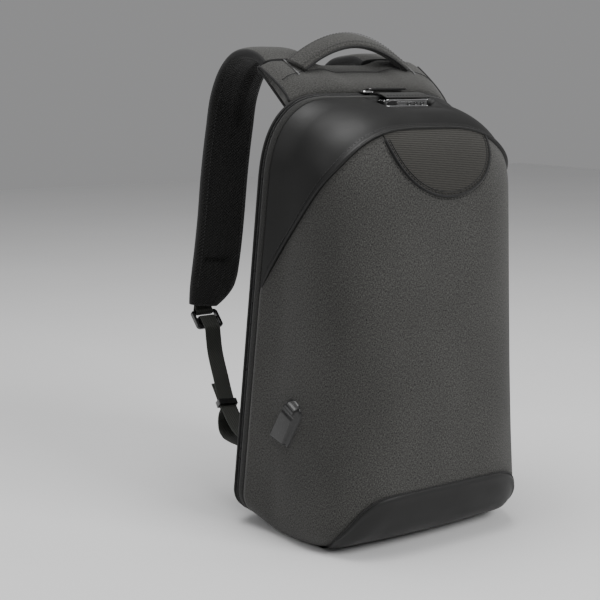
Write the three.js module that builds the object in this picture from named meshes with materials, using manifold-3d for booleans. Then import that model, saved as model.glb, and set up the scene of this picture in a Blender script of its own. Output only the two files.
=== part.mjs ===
import * as THREE from "three";
import { mergeVertices } from "three/addons/utils/BufferGeometryUtils.js";
import Module from "manifold-3d";

// Anti-theft backpack standing on its base.
// Millimetres, X to the right seen from the front, Y to the back, Z up.
// The origin is on the ground, at the middle of the base.

// Body: a tub that opens at the back edge, where the zip runs
const bodyHeight = 445;
const baseHalfWidth = 140;
const topHalfWidth = 127;
const frontNarrowing = 9;
const baseDepth = 186;
const topDepth = 118;
const backEdgeY = 93;
const backLean = 0.11;
const backEdgeRise = 12;
const bottomCornerRadius = 26;
const shoulderWidth = 66;
const shoulderDrop = 85;
const shoulderPower = 2.54;
const frontShoulderWidth = 89;
const frontShoulderDrop = 77;
const sidePower = 3.9;
const topPower = 3.9;
const topFall = 21;
const topFallReach = 110;
const basePower = 5;
const coreShare = 0.4;
const frontShare = 0.35;
const baseFlattening = 3;
const standingFlattening = 10.5;
const standingReach = 15;
const standingHalfWidth = 118;
const standingFade = 40;
const standingForward = 0.6;
const wallThickness = 3;
const pieceGap = 0.4;

// Seams of the upper and the lower panel, and the patch
const crownBelowTop = 29;
const crownHeight = bodyHeight - crownBelowTop;
const crownArchDrop = 30;
const crownArchHalfWidth = 101;
const crownArchPower = 3.3;
const upperSeamFall = 1.05;
const upperSeamTurnY = -38;
const upperSeamTurnLength = 15;
const lowerSeamHeight = 64.5;
const lowerSeamDrop = 18;
const lowerSeamHalfWidth = 100;
const lowerSeamPower = 8;
const lowerPanelHalfWidth = 112;
const lowerSeamSteps = 20;
const patchHalfWidth = 64;
const patchHeight = 58;
const patchCentreX = 6.5;
const patchTopDrop = 8.5;
const patchSteps = 18;
const rolledEdgeHeight = 2.4;
const rolledEdgeWidth = 8;
const smallestStrip = 1.2;

// Rings along the back edge, each with its width along the depth of the bag
const bindingBehind = 2.4;
const bindingInFront = 1.2;
const bindingProud = 1.4;
const ringDepth = 2;
const ringGap = 0.3;
const zipWidth = 4.2;
const zipProud = 0.9;
const bandWidth = 8;

// Back panel and pad
const backPanelInset = 2.6;
const backPanelThickness = 8;
const backPadInset = 34;
const backPadThickness = 13;
const backPadRounding = 9;

// Padded top between the zip, the handle and the straps
const yokeHalfWidth = 103;
const yokeRearY = 96;
const yokeCrestHeight = 30;
const yokeStrapRise = 6;
const yokeEndDrop = 3;
const yokeRearDrop = 20;
const yokeBlockHalfWidth = 58;
const yokeEndThickness = 5;
const yokeFrontShift = 6;
const yokeRampMiddle = 0.42;
const yokeRampEnd = 0.7;
const yokeStations = 17;

// Carry handle
const handleHalfSpan = 70;
const handleWidth = 28;
const handleThickness = 9;
const handleTilt = 0.48;
const handleAboveTop = 55;
const handleCrestZ = bodyHeight + handleAboveTop;
const handleY = 79;
const handleArchDrop = 27;
const handleSides = 8;
const handleSteps = 14;
const trimLength = 29;
const trimWidth = 2.2;
const trimThickness = 1.2;
const trimOffset = 4.5;

// Shoulder straps
const strapWidth = 58;
const strapThickness = 14;
const strapSectionPower = 3.2;
const strapRootX = 68;
const strapFootSpread = 32;
const strapFootNarrowing = 24;
const strapFootShift = 9;
const strapReach = 107;
const strapAboveTop = 42;
const strapTopZ = bodyHeight + strapAboveTop;
const strapDrop = 276;
const strapSides = 8;
const strapSteps = 22;

// Webbing, its buckle and its slider
const webbingWidth = 19;
const webbingThickness = 1.6;
const buckleWidth = 33;
const buckleHeight = 24;
const buckleThickness = 4;
const buckleTilt = 0.8;
const buckleTopBar = 3;
const buckleUpperSlot = 7;
const buckleMiddleBar = 3.5;
const buckleLowerSlot = 7;
const buckleBelowStrap = 5;
const buckleSlotWidth = 24;
const webbingTail = 13;
const loopWidth = 21;
const loopThickness = 1.4;
const sliderWall = 1.5;
const sliderLength = 7;
const sliderShare = 0.6;
const foldedEnd = 26;
const anchorWidth = 24;
const anchorHeight = 34;
const anchorThickness = 3;
const anchorFromSide = 19;
const anchorX = baseHalfWidth - anchorFromSide;
const anchorZ = 82;

// Number lock in front of the zip
const lockCentreX = 25;
const lockWidth = 56;
const lockDepth = 14;
const lockHeight = 13;
const lockBelowTop = 5;
const lockTopZ = bodyHeight - lockBelowTop;
const lockCorner = 2.5;
const lockNotchLeft = 4;
const lockNotchRight = 24;
const lockDip = 15;
const lockDipMargin = 7;
const lockDipFade = 16;
const lockDipLength = 44;
const dialRadius = 5.2;
const dialWidth = 4.6;
const dialPitch = 8.5;
const dialProud = 0.7;
const dialAxleRadius = 1.1;
const dialAxleReach = 1.1;
const dialClearance = 0.35;
const dialOffset = 12;
const dialTeeth = 12;
const axleSides = 8;
const flapWidth = 57;
const flapShift = 3.5;
const flapThickness = 1.4;

// Zip slider and its pull
const sliderBodyLength = 13;
const sliderBodyWidth = 9;
const sliderBodyHeight = 2.6;
const pullLength = 50;
const pullWidth = 8.5;
const pullThickness = 2;
const pullWindowLength = 22;
const pullWindowWidth = 4;

// Charging port cover on the left side
const coverY = 6;
const coverZ = 126;
const coverTilt = 0.54;
const coverHalfWidth = 14.5;
const coverTaper = 0.92;
const coverFootSlant = 5.5;
const coverFootDrop = 2.5;
const coverHeight = 50;
const coverThickness = 7;
const coverFlange = 2;
const coverTopShare = 0.72;
const coverRows = 6;
const coverColumns = 6;

// How finely the outline is stepped, for one half of the bag
const baseColumns = 4;
const cornerColumns = 5;
const sideColumns = 12;
const shoulderColumns = 11;
const topColumns = 6;
const columnsPerHalf = baseColumns + cornerColumns + sideColumns + shoulderColumns + topColumns;
const columnCount = 2 * columnsPerHalf;

const wasm = await Module();
wasm.setup();

const bag = new THREE.Group();
const middleZ = bodyHeight / 2;

const looks = {
  fabric: { color: 0x454543, roughness: 0.95, metalness: 0 },
  coated: { color: 0x1b1b1a, roughness: 0.5, metalness: 0 },
  ribbed: { color: 0x454441, roughness: 0.85, metalness: 0 },
  tape: { color: 0x1c1c1c, roughness: 0.9, metalness: 0 },
  mesh: { color: 0x171717, roughness: 0.95, metalness: 0 },
  webbing: { color: 0x2b2d29, roughness: 0.85, metalness: 0 },
  gloss: { color: 0x101010, roughness: 0.25, metalness: 0 },
  gunmetal: { color: 0x2a2a2c, roughness: 0.3, metalness: 0.9 },
  rubber: { color: 0x222221, roughness: 0.7, metalness: 0 },
};

// Shared geometry helpers

function smooth(value) {
  const t = Math.min(1, Math.max(0, value));
  return t * t * (3 - 2 * t);
}

function mix(from, to, share) {
  return from + (to - from) * share;
}

// A closed mesh with its shared corners merged, no flat triangles, and its faces pointing out
function closedBody(geometry) {
  geometry.deleteAttribute("normal");
  geometry.deleteAttribute("uv");
  const merged = mergeVertices(geometry, 1e-3);
  const index = [];
  for (let i = 0; i < merged.index.count; i += 3) {
    const [a, b, c] = [0, 1, 2].map((k) => merged.index.getX(i + k));
    if (a !== b && b !== c && c !== a) {
      index.push(a, b, c);
    }
  }
  merged.setIndex(index);
  if (signedVolume(merged) < 0) {
    for (let i = 0; i < index.length; i += 3) {
      [index[i + 1], index[i + 2]] = [index[i + 2], index[i + 1]];
    }
    merged.setIndex(index);
  }
  merged.computeVertexNormals();
  return merged;
}

function signedVolume(geometry) {
  const position = geometry.getAttribute("position");
  const [a, b, c] = [new THREE.Vector3(), new THREE.Vector3(), new THREE.Vector3()];
  let volume = 0;
  for (let i = 0; i < geometry.index.count; i += 3) {
    a.fromBufferAttribute(position, geometry.index.getX(i));
    b.fromBufferAttribute(position, geometry.index.getX(i + 1));
    c.fromBufferAttribute(position, geometry.index.getX(i + 2));
    volume += a.dot(b.cross(c)) / 6;
  }
  return volume;
}

// A closed body from rows of points: each grid is a list of rows of equal length
class Skin {
  constructor() {
    this.points = [];
    this.index = [];
  }

  add(point) {
    this.points.push(point.x, point.y, point.z);
    return this.points.length / 3 - 1;
  }

  quad(a, b, c, d) {
    this.index.push(a, b, c, a, c, d);
  }

  grid(rows, wrap) {
    const ids = rows.map((row) => row.map((point) => this.add(point)));
    for (let r = 0; r + 1 < ids.length; r += 1) {
      const count = ids[r].length;
      for (let k = 0; k < (wrap ? count : count - 1); k += 1) {
        const next = (k + 1) % count;
        this.quad(ids[r][k], ids[r][next], ids[r + 1][next], ids[r + 1][k]);
      }
    }
  }

  body() {
    const geometry = new THREE.BufferGeometry();
    geometry.setAttribute("position", new THREE.Float32BufferAttribute(this.points, 3));
    geometry.setIndex(this.index);
    return closedBody(geometry);
  }
}

// Rings of points joined one to the next, closed at both ends by a fan
function loftRings(rings) {
  const skin = new Skin();
  const middleOf = (ring) => {
    const middle = new THREE.Vector3();
    ring.forEach((point) => middle.add(point));
    return middle.divideScalar(ring.length);
  };
  const first = rings[0];
  const last = rings[rings.length - 1];
  const rows = [first.map(() => middleOf(first)), ...rings, last.map(() => middleOf(last))];
  skin.grid(rows, true);
  return skin.body();
}

function toManifold(geometry) {
  const position = geometry.getAttribute("position");
  const solid = new wasm.Mesh({
    numProp: 3,
    vertProperties: new Float32Array(position.array),
    triVerts: new Uint32Array(geometry.index.array),
  });
  return new wasm.Manifold(solid);
}

function fromManifold(solid) {
  const mesh = solid.getMesh();
  const geometry = new THREE.BufferGeometry();
  geometry.setAttribute("position", new THREE.BufferAttribute(new Float32Array(mesh.vertProperties), 3));
  geometry.setIndex(Array.from(mesh.triVerts));
  return closedBody(geometry);
}

function cut(body, ...tools) {
  let solid = toManifold(body);
  for (const tool of tools) {
    solid = solid.subtract(toManifold(tool));
  }
  return fromManifold(solid);
}

function join(body, ...others) {
  let solid = toManifold(body);
  for (const other of others) {
    solid = solid.add(toManifold(other));
  }
  return fromManifold(solid);
}

function overlap(body, tool) {
  return fromManifold(toManifold(body).intersect(toManifold(tool)));
}

// A straight-sided window in a flat shape
function addWindow(shape, width, height, x, y) {
  const [w, h] = [width / 2, height / 2];
  const corners = [[-w, -h], [-w, h], [w, h], [w, -h]];
  shape.holes.push(new THREE.Path().setFromPoints(corners.map(([u, v]) => new THREE.Vector2(x + u, y + v))));
}

function roundedRectangle(width, height, radius) {
  const shape = new THREE.Shape();
  const w = width / 2;
  const h = height / 2;
  shape.moveTo(-w + radius, -h);
  shape.lineTo(w - radius, -h);
  shape.absarc(w - radius, -h + radius, radius, -Math.PI / 2, 0, false);
  shape.lineTo(w, h - radius);
  shape.absarc(w - radius, h - radius, radius, 0, Math.PI / 2, false);
  shape.lineTo(-w + radius, h);
  shape.absarc(-w + radius, h - radius, radius, Math.PI / 2, Math.PI, false);
  shape.lineTo(-w, -h + radius);
  shape.absarc(-w + radius, -h + radius, radius, Math.PI, 1.5 * Math.PI, false);
  return shape;
}

// A shape extruded through its own middle, with a chamfer that stays inside its thickness
function extruded(shape, thickness, chamfer, curveSegments = 2) {
  const geometry = new THREE.ExtrudeGeometry(shape, {
    depth: thickness - 2 * chamfer,
    bevelEnabled: chamfer > 0,
    bevelThickness: chamfer,
    bevelSize: chamfer,
    bevelOffset: -chamfer,
    bevelSegments: 1,
    curveSegments,
  });
  return closedBody(geometry).translate(0, 0, chamfer - thickness / 2);
}

function addPiece(name, geometry, look) {
  const mesh = new THREE.Mesh(geometry, new THREE.MeshStandardMaterial(look));
  mesh.name = name;
  bag.add(mesh);
  return mesh;
}

// The body's outline, seen from the front

function halfOutline(inset, atFront) {
  const floor = (atFront ? 0 : backEdgeRise) + inset;
  const top = bodyHeight - inset;
  const corner = Math.max(4, bottomCornerRadius - inset);
  const shoulderX = (atFront ? frontShoulderWidth : shoulderWidth) - inset;
  const shoulderZ = (atFront ? frontShoulderDrop : shoulderDrop) - inset;
  const widthAt = (z) => mix(baseHalfWidth, topHalfWidth, z / bodyHeight) - inset;
  const points = [];
  for (let i = 0; i < baseColumns; i += 1) {
    points.push({ x: (widthAt(floor) - corner) * i / baseColumns, z: floor });
  }
  for (let i = 0; i < cornerColumns; i += 1) {
    const turn = Math.PI / 2 * i / cornerColumns;
    const z = floor + corner * (1 - Math.cos(turn));
    points.push({ x: widthAt(z) - corner * (1 - Math.sin(turn)), z });
  }
  for (let i = 0; i < sideColumns; i += 1) {
    const z = mix(floor + corner, top - shoulderZ, i / sideColumns);
    points.push({ x: widthAt(z), z });
  }
  for (let i = 0; i < shoulderColumns; i += 1) {
    const turn = Math.PI / 2 * i / shoulderColumns;
    const z = top - shoulderZ * (1 - Math.sin(turn) ** (2 / shoulderPower));
    points.push({ x: widthAt(z) - shoulderX * (1 - Math.cos(turn) ** (2 / shoulderPower)), z });
  }
  for (let i = 0; i <= topColumns; i += 1) {
    points.push({ x: (widthAt(top) - shoulderX) * (1 - i / topColumns), z: top });
  }
  const share = atFront ? 1 - frontNarrowing / baseHalfWidth : 1;
  return points.map((point) => ({ x: point.x * share, z: point.z }));
}

// The whole outline, from the middle of the base up the left side and down the right one
function wholeOutline(inset, atFront) {
  const half = halfOutline(inset, atFront);
  const left = half.map((point) => ({ x: -point.x, z: point.z }));
  const right = half.slice(1, -1).reverse();
  return [...left, ...right];
}

const outlines = new Map();

function outlineAt(column, inset, atFront) {
  const key = `${inset} ${atFront}`;
  if (!outlines.has(key)) {
    outlines.set(key, wholeOutline(inset, atFront));
  }
  return outlines.get(key)[(column + columnCount) % columnCount];
}

function roundingPower(column) {
  const rim = outlineAt(column, 0, false);
  return powerTowards(Math.abs(rim.x), rim.z);
}

// How square the surface turns on its way to an outline point: the sides, top and base differ
function powerTowards(outwards, z) {
  const upward = Math.sin(Math.atan2(z - middleZ, outwards));
  return mix(sidePower, upward > 0 ? topPower : basePower, upward ** 4);
}

function edgeY(z) {
  return backEdgeY - backLean * z;
}

function depthAt(z) {
  return mix(baseDepth, topDepth, z / bodyHeight);
}

// How far the base is pressed flat where the bag stands, most of all under the middle of its rear half
function settled(z, inset, x, forward) {
  const above = z - inset;
  const edges = above - baseFlattening * Math.max(0, 1 - above / (10 * baseFlattening));
  const middle = above - standingFlattening * Math.max(0, 1 - above / standingReach);
  const across = smooth((standingHalfWidth - Math.abs(x)) / standingFade);
  const along = smooth(2 * (1 - forward / standingForward));
  return inset + Math.max(0, mix(edges, middle, across * along));
}

// A point of the tub's surface: angle 0 is at the back edge and a right angle at the middle of the front
function shellPoint(column, angle, inset = 0) {
  const power = roundingPower(column);
  const reach = (Math.cos(angle) ** power + Math.sin(angle) ** power) ** (-1 / power);
  const across = angle >= Math.PI / 2 ? 0 : reach * Math.cos(angle);
  const forward = reach * Math.sin(angle);
  const rim = outlineAt(column, inset, false);
  const front = outlineAt(column, inset, true);
  const blend = smooth(forward / frontShare);
  const outlineX = mix(rim.x, front.x, blend);
  const levelZ = mix(rim.z, front.z, blend);
  const outlineZ = levelZ - topFall * forward * smooth(1 - (bodyHeight - levelZ) / topFallReach);
  const coreZ = mix(middleZ, outlineZ, coreShare);
  const z = mix(coreZ, outlineZ, across);
  const y = edgeY(z) - (depthAt(z) - inset) * forward;
  const x = outlineX * across;
  return new THREE.Vector3(x, y, settled(z, inset, x, forward));
}

// The angle of the surface point that lies a given distance in front of the back edge
function angleInFront(column, distance) {
  const forward = distance / depthAt(outlineAt(column, 0, false).z);
  const power = roundingPower(column);
  return Math.atan2(forward, (1 - forward ** power) ** (1 / power));
}

// Millimetres along the surface for one radian, near an angle
function surfaceRate(column, angle) {
  const step = 1e-3;
  return shellPoint(column, angle + step).distanceTo(shellPoint(column, angle - step)) / (2 * step);
}

// Seams

function upperSeamZ(x, y) {
  const behind = y - upperSeamTurnY;
  const turned = (Math.hypot(behind, upperSeamTurnLength) + behind) / 2;
  const arch = crownArchDrop * (Math.abs(x) / crownArchHalfWidth) ** crownArchPower;
  return crownHeight - arch - upperSeamFall * turned;
}

function lowerSeamZ(x) {
  return lowerSeamHeight - lowerSeamDrop * (Math.abs(x) / lowerSeamHalfWidth) ** lowerSeamPower;
}

// The angle where a column first passes a seam on its way out from the middle of the front
function crossing(column, passed, outermost) {
  const steps = 60;
  let inside = Math.PI / 2;
  for (let i = 1; i <= steps; i += 1) {
    let outside = mix(Math.PI / 2, outermost, i / steps);
    if (passed(shellPoint(column, outside))) {
      for (let k = 0; k < 30; k += 1) {
        const middle = (inside + outside) / 2;
        if (passed(shellPoint(column, middle))) {
          outside = middle;
        } else {
          inside = middle;
        }
      }
      return outside;
    }
    inside = outside;
  }
  return null;
}

const zipStart = bindingInFront + ringGap;
const bandStart = zipStart + zipWidth + ringGap;
const panelStart = bandStart + bandWidth + ringGap;

function lockNotch(column) {
  const x = outlineAt(column, 0, false).x;
  const z = outlineAt(column, 0, false).z;
  const from = lockCentreX - lockWidth / 2 - lockNotchLeft;
  const to = lockCentreX + lockWidth / 2 + lockNotchRight;
  const near = x > from && x < to && z > bodyHeight - shoulderDrop / 2;
  return near ? lockDepth + 2 * pieceGap : 0;
}

function panelEdge(column) {
  return angleInFront(column, panelStart);
}

// For each column, the angles of the panels' outer edge and of the upper seam
function seamAngles() {
  const rows = [];
  for (let column = 0; column < columnCount; column += 1) {
    const edge = panelEdge(column);
    const upper = crossing(column, (p) => p.z > upperSeamZ(p.x, p.y), edge);
    rows.push({ edge, upper });
    if (upper !== null) {
      const widest = edge + smallestStrip / surfaceRate(column, edge);
      rows[column].upper = Math.max(upper, widest);
    }
  }
  return rows;
}

const seams = seamAngles();

function widthBetween(column, from, to) {
  return shellPoint(column, from).distanceTo(shellPoint(column, to));
}

function movedAngle(column, angle, distance) {
  return angle + distance / surfaceRate(column, angle);
}

// The surface is pressed in just in front of the number lock
const lockFrontY = edgeY(bodyHeight) - bandStart - bandWidth - ringGap - lockDepth;

function lockDent(point) {
  const beside = Math.abs(point.x - lockCentreX) - lockWidth / 2 - lockDipMargin;
  const inFront = lockFrontY - point.y;
  const high = smooth((point.z - crownHeight) / (bodyHeight - crownHeight) * 3);
  return lockDip * high * (1 - smooth(beside / lockDipFade)) * (1 - smooth(inFront / lockDipLength));
}

// Panels

// One wall piece between two edges, with a list of columns and for each the angles of its rows
function wallPiece(columns, outerRows, innerRows, options = {}) {
  const { wrap = false, raise = () => 0, dent = () => 0 } = options;
  const surface = (rows, inset) => rows.map((row) => columns.map((column, k) => {
    const angle = row.angles[k];
    const point = shellPoint(column, angle, inset - (inset === 0 ? raise(row.place, k) : 0));
    point.z -= dent(point);
    return point;
  }));
  const outside = surface(outerRows, 0);
  const inside = surface(innerRows, wallThickness);
  const skin = new Skin();
  skin.grid(outside, wrap);
  skin.grid([...inside].reverse(), wrap);
  const lastRow = outside.length - 1;
  skin.grid([outside[lastRow], inside[inside.length - 1]], wrap);
  if (!wrap) {
    skin.grid([inside[0], outside[0]], wrap);
    closeEnd(skin, outside, inside, 0, false);
    closeEnd(skin, outside, inside, columns.length - 1, true);
  }
  return skin.body();
}

// The end wall of an open panel: the outside edge and the inside edge may have different rows
function closeEnd(skin, outside, inside, end, flipped) {
  const outer = outside.map((row) => skin.add(row[end]));
  const inner = inside.map((row) => skin.add(row[end]));
  let i = 0;
  let k = 0;
  while (i + 1 < outer.length || k + 1 < inner.length) {
    const outerNext = (i + 1) / (outer.length - 1);
    const innerNext = (k + 1) / (inner.length - 1);
    const takeOuter = k + 1 >= inner.length || (i + 1 < outer.length && outerNext <= innerNext);
    const triangle = takeOuter ? [outer[i], outer[i + 1], inner[k]] : [outer[i], inner[k + 1], inner[k]];
    if (flipped) {
      triangle.reverse();
    }
    skin.index.push(...triangle);
    if (takeOuter) {
      i += 1;
    } else {
      k += 1;
    }
  }
}

// Rows of angles at given shares between two edges of each column
function rowsBetween(columns, from, to, shares) {
  return shares.map((share) => ({
    place: share,
    angles: columns.map((column) => mix(from(column), to(column), share)),
  }));
}

function evenShares(count) {
  return Array.from({ length: count + 1 }, (_, i) => i / count);
}

// Rows of a panel with a rolled edge: close together at the seam and even beyond it
function rolledRows(columns, seam, edge, rowsBeyond) {
  const places = [
    { across: 0, lift: 0.3 },
    { across: 0.22, lift: 0.95 },
    { across: 0.55, lift: 0.8 },
    { across: 1, lift: 0 },
  ];
  const rolled = (column) => {
    const whole = edge(column) - seam(column);
    const wanted = -rolledEdgeWidth / surfaceRate(column, seam(column));
    return Math.max(wanted, 0.6 * whole);
  };
  const near = places.map((place) => ({
    place: place.lift,
    angles: columns.map((column) => seam(column) + place.across * rolled(column)),
  }));
  const beyond = evenShares(rowsBeyond).slice(1).map((share) => ({
    place: 0,
    angles: columns.map((column) => mix(seam(column) + rolled(column), edge(column), share)),
  }));
  return [...near, ...beyond];
}

function frontEdge(column) {
  const row = seams[column];
  if (row.upper !== null) {
    return movedAngle(column, row.upper, pieceGap);
  }
  return row.edge;
}

// The grey front, the patch and the lower panel are one wall, parted along their seams
function makeWholeFront() {
  const columns = Array.from({ length: columnCount }, (_, i) => i);
  const core = () => Math.PI / 2;
  const outer = rowsBetween(columns, core, frontEdge, [0, 0.3, 0.48, 0.6, 0.7, 0.79, 0.87, 0.94, 1]);
  const inner = rowsBetween(columns, core, frontEdge, [0, 0.45, 0.64, 0.82, 1]);
  return wallPiece(columns, outer, inner, { wrap: true });
}

// A prism through the whole bag, whose top is the lower seam moved outwards by a distance
function lowerSeamPrism(outwards) {
  const reach = lowerPanelHalfWidth + outwards;
  const shape = new THREE.Shape();
  shape.moveTo(-reach, -lowerSeamHeight);
  shape.lineTo(reach, -lowerSeamHeight);
  evenShares(lowerSeamSteps).forEach((share) => {
    const x = reach * Math.cos(Math.PI * share);
    shape.lineTo(x, lowerSeamZ(x) + outwards);
  });
  shape.closePath();
  const length = 2 * baseDepth;
  const geometry = new THREE.ExtrudeGeometry(shape, { depth: length, bevelEnabled: false });
  return closedBody(geometry).rotateX(Math.PI / 2).translate(0, length / 2, 0);
}

// A half-round prism in front of the bag, whose curve is the patch's edge moved outwards
function patchPrism(outwards) {
  const shape = new THREE.Shape();
  const top = crownHeight - patchTopDrop;
  const wide = patchHalfWidth + outwards;
  const high = patchHeight + outwards;
  shape.moveTo(patchCentreX + wide, top + patchHeight);
  evenShares(patchSteps).forEach((share) => {
    const turn = Math.PI * share;
    shape.lineTo(patchCentreX + wide * Math.cos(turn), top - high * Math.sin(turn));
  });
  shape.lineTo(patchCentreX - wide, top + patchHeight);
  shape.closePath();
  const geometry = new THREE.ExtrudeGeometry(shape, { depth: baseDepth, bevelEnabled: false });
  return closedBody(geometry).rotateX(Math.PI / 2);
}

function makeFrontPanel() {
  return cut(makeWholeFront(), lowerSeamPrism(pieceGap / 2), patchPrism(pieceGap / 2));
}

function columnsWhere(test, start) {
  const columns = [];
  for (let i = 0; i < columnCount; i += 1) {
    const column = (start + i) % columnCount;
    if (test(seams[column])) {
      columns.push(column);
    }
  }
  return columns;
}

function makeUpperPanel() {
  const columns = columnsWhere((row) => row.upper !== null, 0);
  const edge = (column) => angleInFront(column, panelStart + lockNotch(column));
  const seam = (column) => seams[column].upper;
  const outer = rolledRows(columns, seam, edge, 5);
  const inner = rowsBetween(columns, seam, edge, [0, 0.3, 0.65, 1]);
  const raise = (lift, k) => {
    const width = widthBetween(columns[k], seam(columns[k]), edge(columns[k]));
    return lift * rolledEdgeHeight * Math.min(1, width / (2 * rolledEdgeWidth));
  };
  return wallPiece(columns, outer, inner, { raise, dent: lockDent });
}

function makeLowerPanel() {
  return overlap(makeWholeFront(), lowerSeamPrism(-pieceGap / 2));
}

function makePatch() {
  return overlap(makeWholeFront(), patchPrism(-pieceGap / 2));
}

// Pieces whose section is carried round the outline

// A corner of such a section: inset from the outline, share of the way out from the middle,
// and distance behind the back edge, where less than nothing is in front of it
function rimPoint(column, corner) {
  const share = corner.share ?? 1;
  if (corner.behind < 0) {
    return shellPoint(column, angleInFront(column, -corner.behind), corner.inset);
  }
  const rim = outlineAt(column, corner.inset, false);
  const coreZ = mix(middleZ, rim.z, coreShare);
  const z = mix(coreZ, rim.z, share);
  return new THREE.Vector3(rim.x * share, edgeY(z) + corner.behind, z);
}

function ringPiece(section) {
  const columns = Array.from({ length: columnCount }, (_, i) => i);
  const loop = [...section, section[0]];
  const skin = new Skin();
  skin.grid(loop.map((corner) => columns.map((column) => rimPoint(column, corner))), true);
  return skin.body();
}

function discPiece(section) {
  const columns = Array.from({ length: columnCount }, (_, i) => i);
  const skin = new Skin();
  skin.grid(section.map((corner) => columns.map((column) => rimPoint(column, corner))), true);
  return skin.body();
}

function makeSideBand() {
  return ringPiece([
    { inset: 0, behind: -bandStart },
    { inset: 0, behind: -bandStart - bandWidth },
    { inset: wallThickness, behind: -bandStart - bandWidth },
    { inset: wallThickness, behind: -bandStart },
  ]);
}

function makeZip() {
  return ringPiece([
    { inset: 0.3, behind: -zipStart },
    { inset: -zipProud, behind: -zipStart - zipWidth / 2 },
    { inset: 0.3, behind: -zipStart - zipWidth },
    { inset: ringDepth, behind: -zipStart - zipWidth / 2 },
  ]);
}

function makeBinding() {
  return ringPiece([
    { inset: ringDepth, behind: -0.5 * bindingInFront },
    { inset: -0.6 * bindingProud, behind: -bindingInFront },
    { inset: -bindingProud, behind: 0.7 * bindingBehind },
    { inset: 0.4 * ringDepth, behind: bindingBehind },
  ]);
}

function makeBackPanel() {
  const inset = backPanelInset;
  return discPiece([
    { inset, share: 0, behind: 0 },
    { inset, behind: 0 },
    { inset: inset + 0.6 * backPanelThickness, behind: backPanelThickness },
    { inset, share: 0, behind: backPanelThickness },
  ]);
}

function makeBackPad() {
  const front = backPanelThickness + pieceGap;
  const rear = front + backPadThickness;
  return discPiece([
    { inset: backPadInset, share: 0, behind: front },
    { inset: backPadInset, behind: front },
    { inset: backPadInset + backPadRounding, behind: rear },
    { inset: backPadInset, share: 0, behind: rear },
  ]);
}

// Padded top

function rimTopZ(x) {
  const share = Math.max(0, (Math.abs(x) - (topHalfWidth - shoulderWidth)) / shoulderWidth);
  const rise = (1 - Math.min(1, share) ** shoulderPower) ** (1 / shoulderPower);
  return bodyHeight - shoulderDrop * (1 - rise);
}

// The padding is pulled to one side at the front: how far, at a depth
function yokeShift(y) {
  const front = edgeY(bodyHeight);
  return yokeFrontShift * Math.min(1, (yokeRearY - y) / (yokeRearY - front));
}

// The top of the padding at one of its stations, higher where a strap starts
function yokeTopZ(x, y) {
  const foot = rimTopZ(x + yokeFrontShift) + pieceGap;
  const side = Math.abs(x) / yokeHalfWidth;
  const strapRise = yokeStrapRise * smooth(1.8 - 2.4 * Math.abs(Math.abs(x) - strapRootX) / strapWidth);
  const crest = bodyHeight + yokeCrestHeight + strapRise - yokeEndDrop * side ** 4;
  const start = edgeY(rimTopZ(x + yokeFrontShift)) + bindingBehind;
  const along = Math.max(0, (y - start) / (yokeRearY - start));
  const power = mix(yokeRampMiddle, yokeRampEnd, side ** 2);
  return mix(foot, crest, Math.min(1, along) ** power);
}

function yokeRing(x, grow) {
  const rim = rimTopZ(x + yokeFrontShift);
  const front = edgeY(rim) + bindingBehind + pieceGap;
  const overPanel = rim - backPanelInset + pieceGap;
  const behindPanel = (z) => edgeY(z) + backPanelThickness + 2 * pieceGap;
  const rear = yokeRearY;
  const points = [[front, overPanel]];
  for (const share of [0, 0.12, 0.3, 0.52, 0.76, 0.93]) {
    const y = mix(front, rear, share);
    points.push([y, yokeTopZ(x, y) + grow]);
  }
  const crest = yokeTopZ(x, rear);
  const toEnd = smooth((Math.abs(x) - yokeBlockHalfWidth) / (yokeHalfWidth - yokeBlockHalfWidth));
  const rearLow = mix(rim - yokeRearDrop, crest - yokeEndThickness, toEnd);
  const frontLow = mix(rim - yokeRearDrop, overPanel - yokeEndThickness / 4, toEnd);
  points.push([rear, crest - 3 + grow]);
  points.push([rear, mix(crest, rearLow, 0.75)]);
  points.push([rear - 3, rearLow]);
  points.push([behindPanel(frontLow), frontLow]);
  points.push([behindPanel(overPanel), overPanel]);
  return points.map(([y, z]) => new THREE.Vector3(x + yokeShift(y), y, z));
}

function makeYoke(grow = 0) {
  const rings = evenShares(yokeStations - 1).map((share) => yokeRing(mix(-yokeHalfWidth, yokeHalfWidth, share), grow));
  return fanCappedLoft(rings);
}

// A loft whose end rings may be hollow-sided, so each end is triangulated as a flat shape
function fanCappedLoft(rings) {
  const skin = new Skin();
  skin.grid(rings, true);
  [rings[0], rings[rings.length - 1]].forEach((ring, side) => {
    const flat = ring.map((point) => new THREE.Vector2(point.y, point.z));
    const ids = ring.map((point) => skin.add(point));
    const facing = side === 0 ? 1 : -1;
    const turn = Math.sign(THREE.ShapeUtils.area(flat)) * facing;
    for (const [a, b, c] of THREE.ShapeUtils.triangulateShape(flat, [])) {
      skin.index.push(...(turn > 0 ? [ids[a], ids[c], ids[b]] : [ids[a], ids[b], ids[c]]));
    }
  });
  return skin.body();
}

// Soft and flat strips swept along a curve

// A rounded strip section: width across, thickness through, and its power from oval to oblong
function stripSection(width, thickness, power, sides) {
  return Array.from({ length: sides }, (_, i) => {
    const turn = 2 * Math.PI * (i + 0.5) / sides;
    const c = Math.cos(turn);
    const s = Math.sin(turn);
    const u = Math.sign(c) * Math.abs(c) ** (2 / power) * width / 2;
    const v = Math.sign(s) * Math.abs(s) ** (2 / power) * thickness / 2;
    return { u, v };
  });
}

function flatSection(width, thickness) {
  const [w, t] = [width / 2, thickness / 2];
  return [{ u: -w, v: -t }, { u: w, v: -t }, { u: w, v: t }, { u: -w, v: t }];
}

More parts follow.
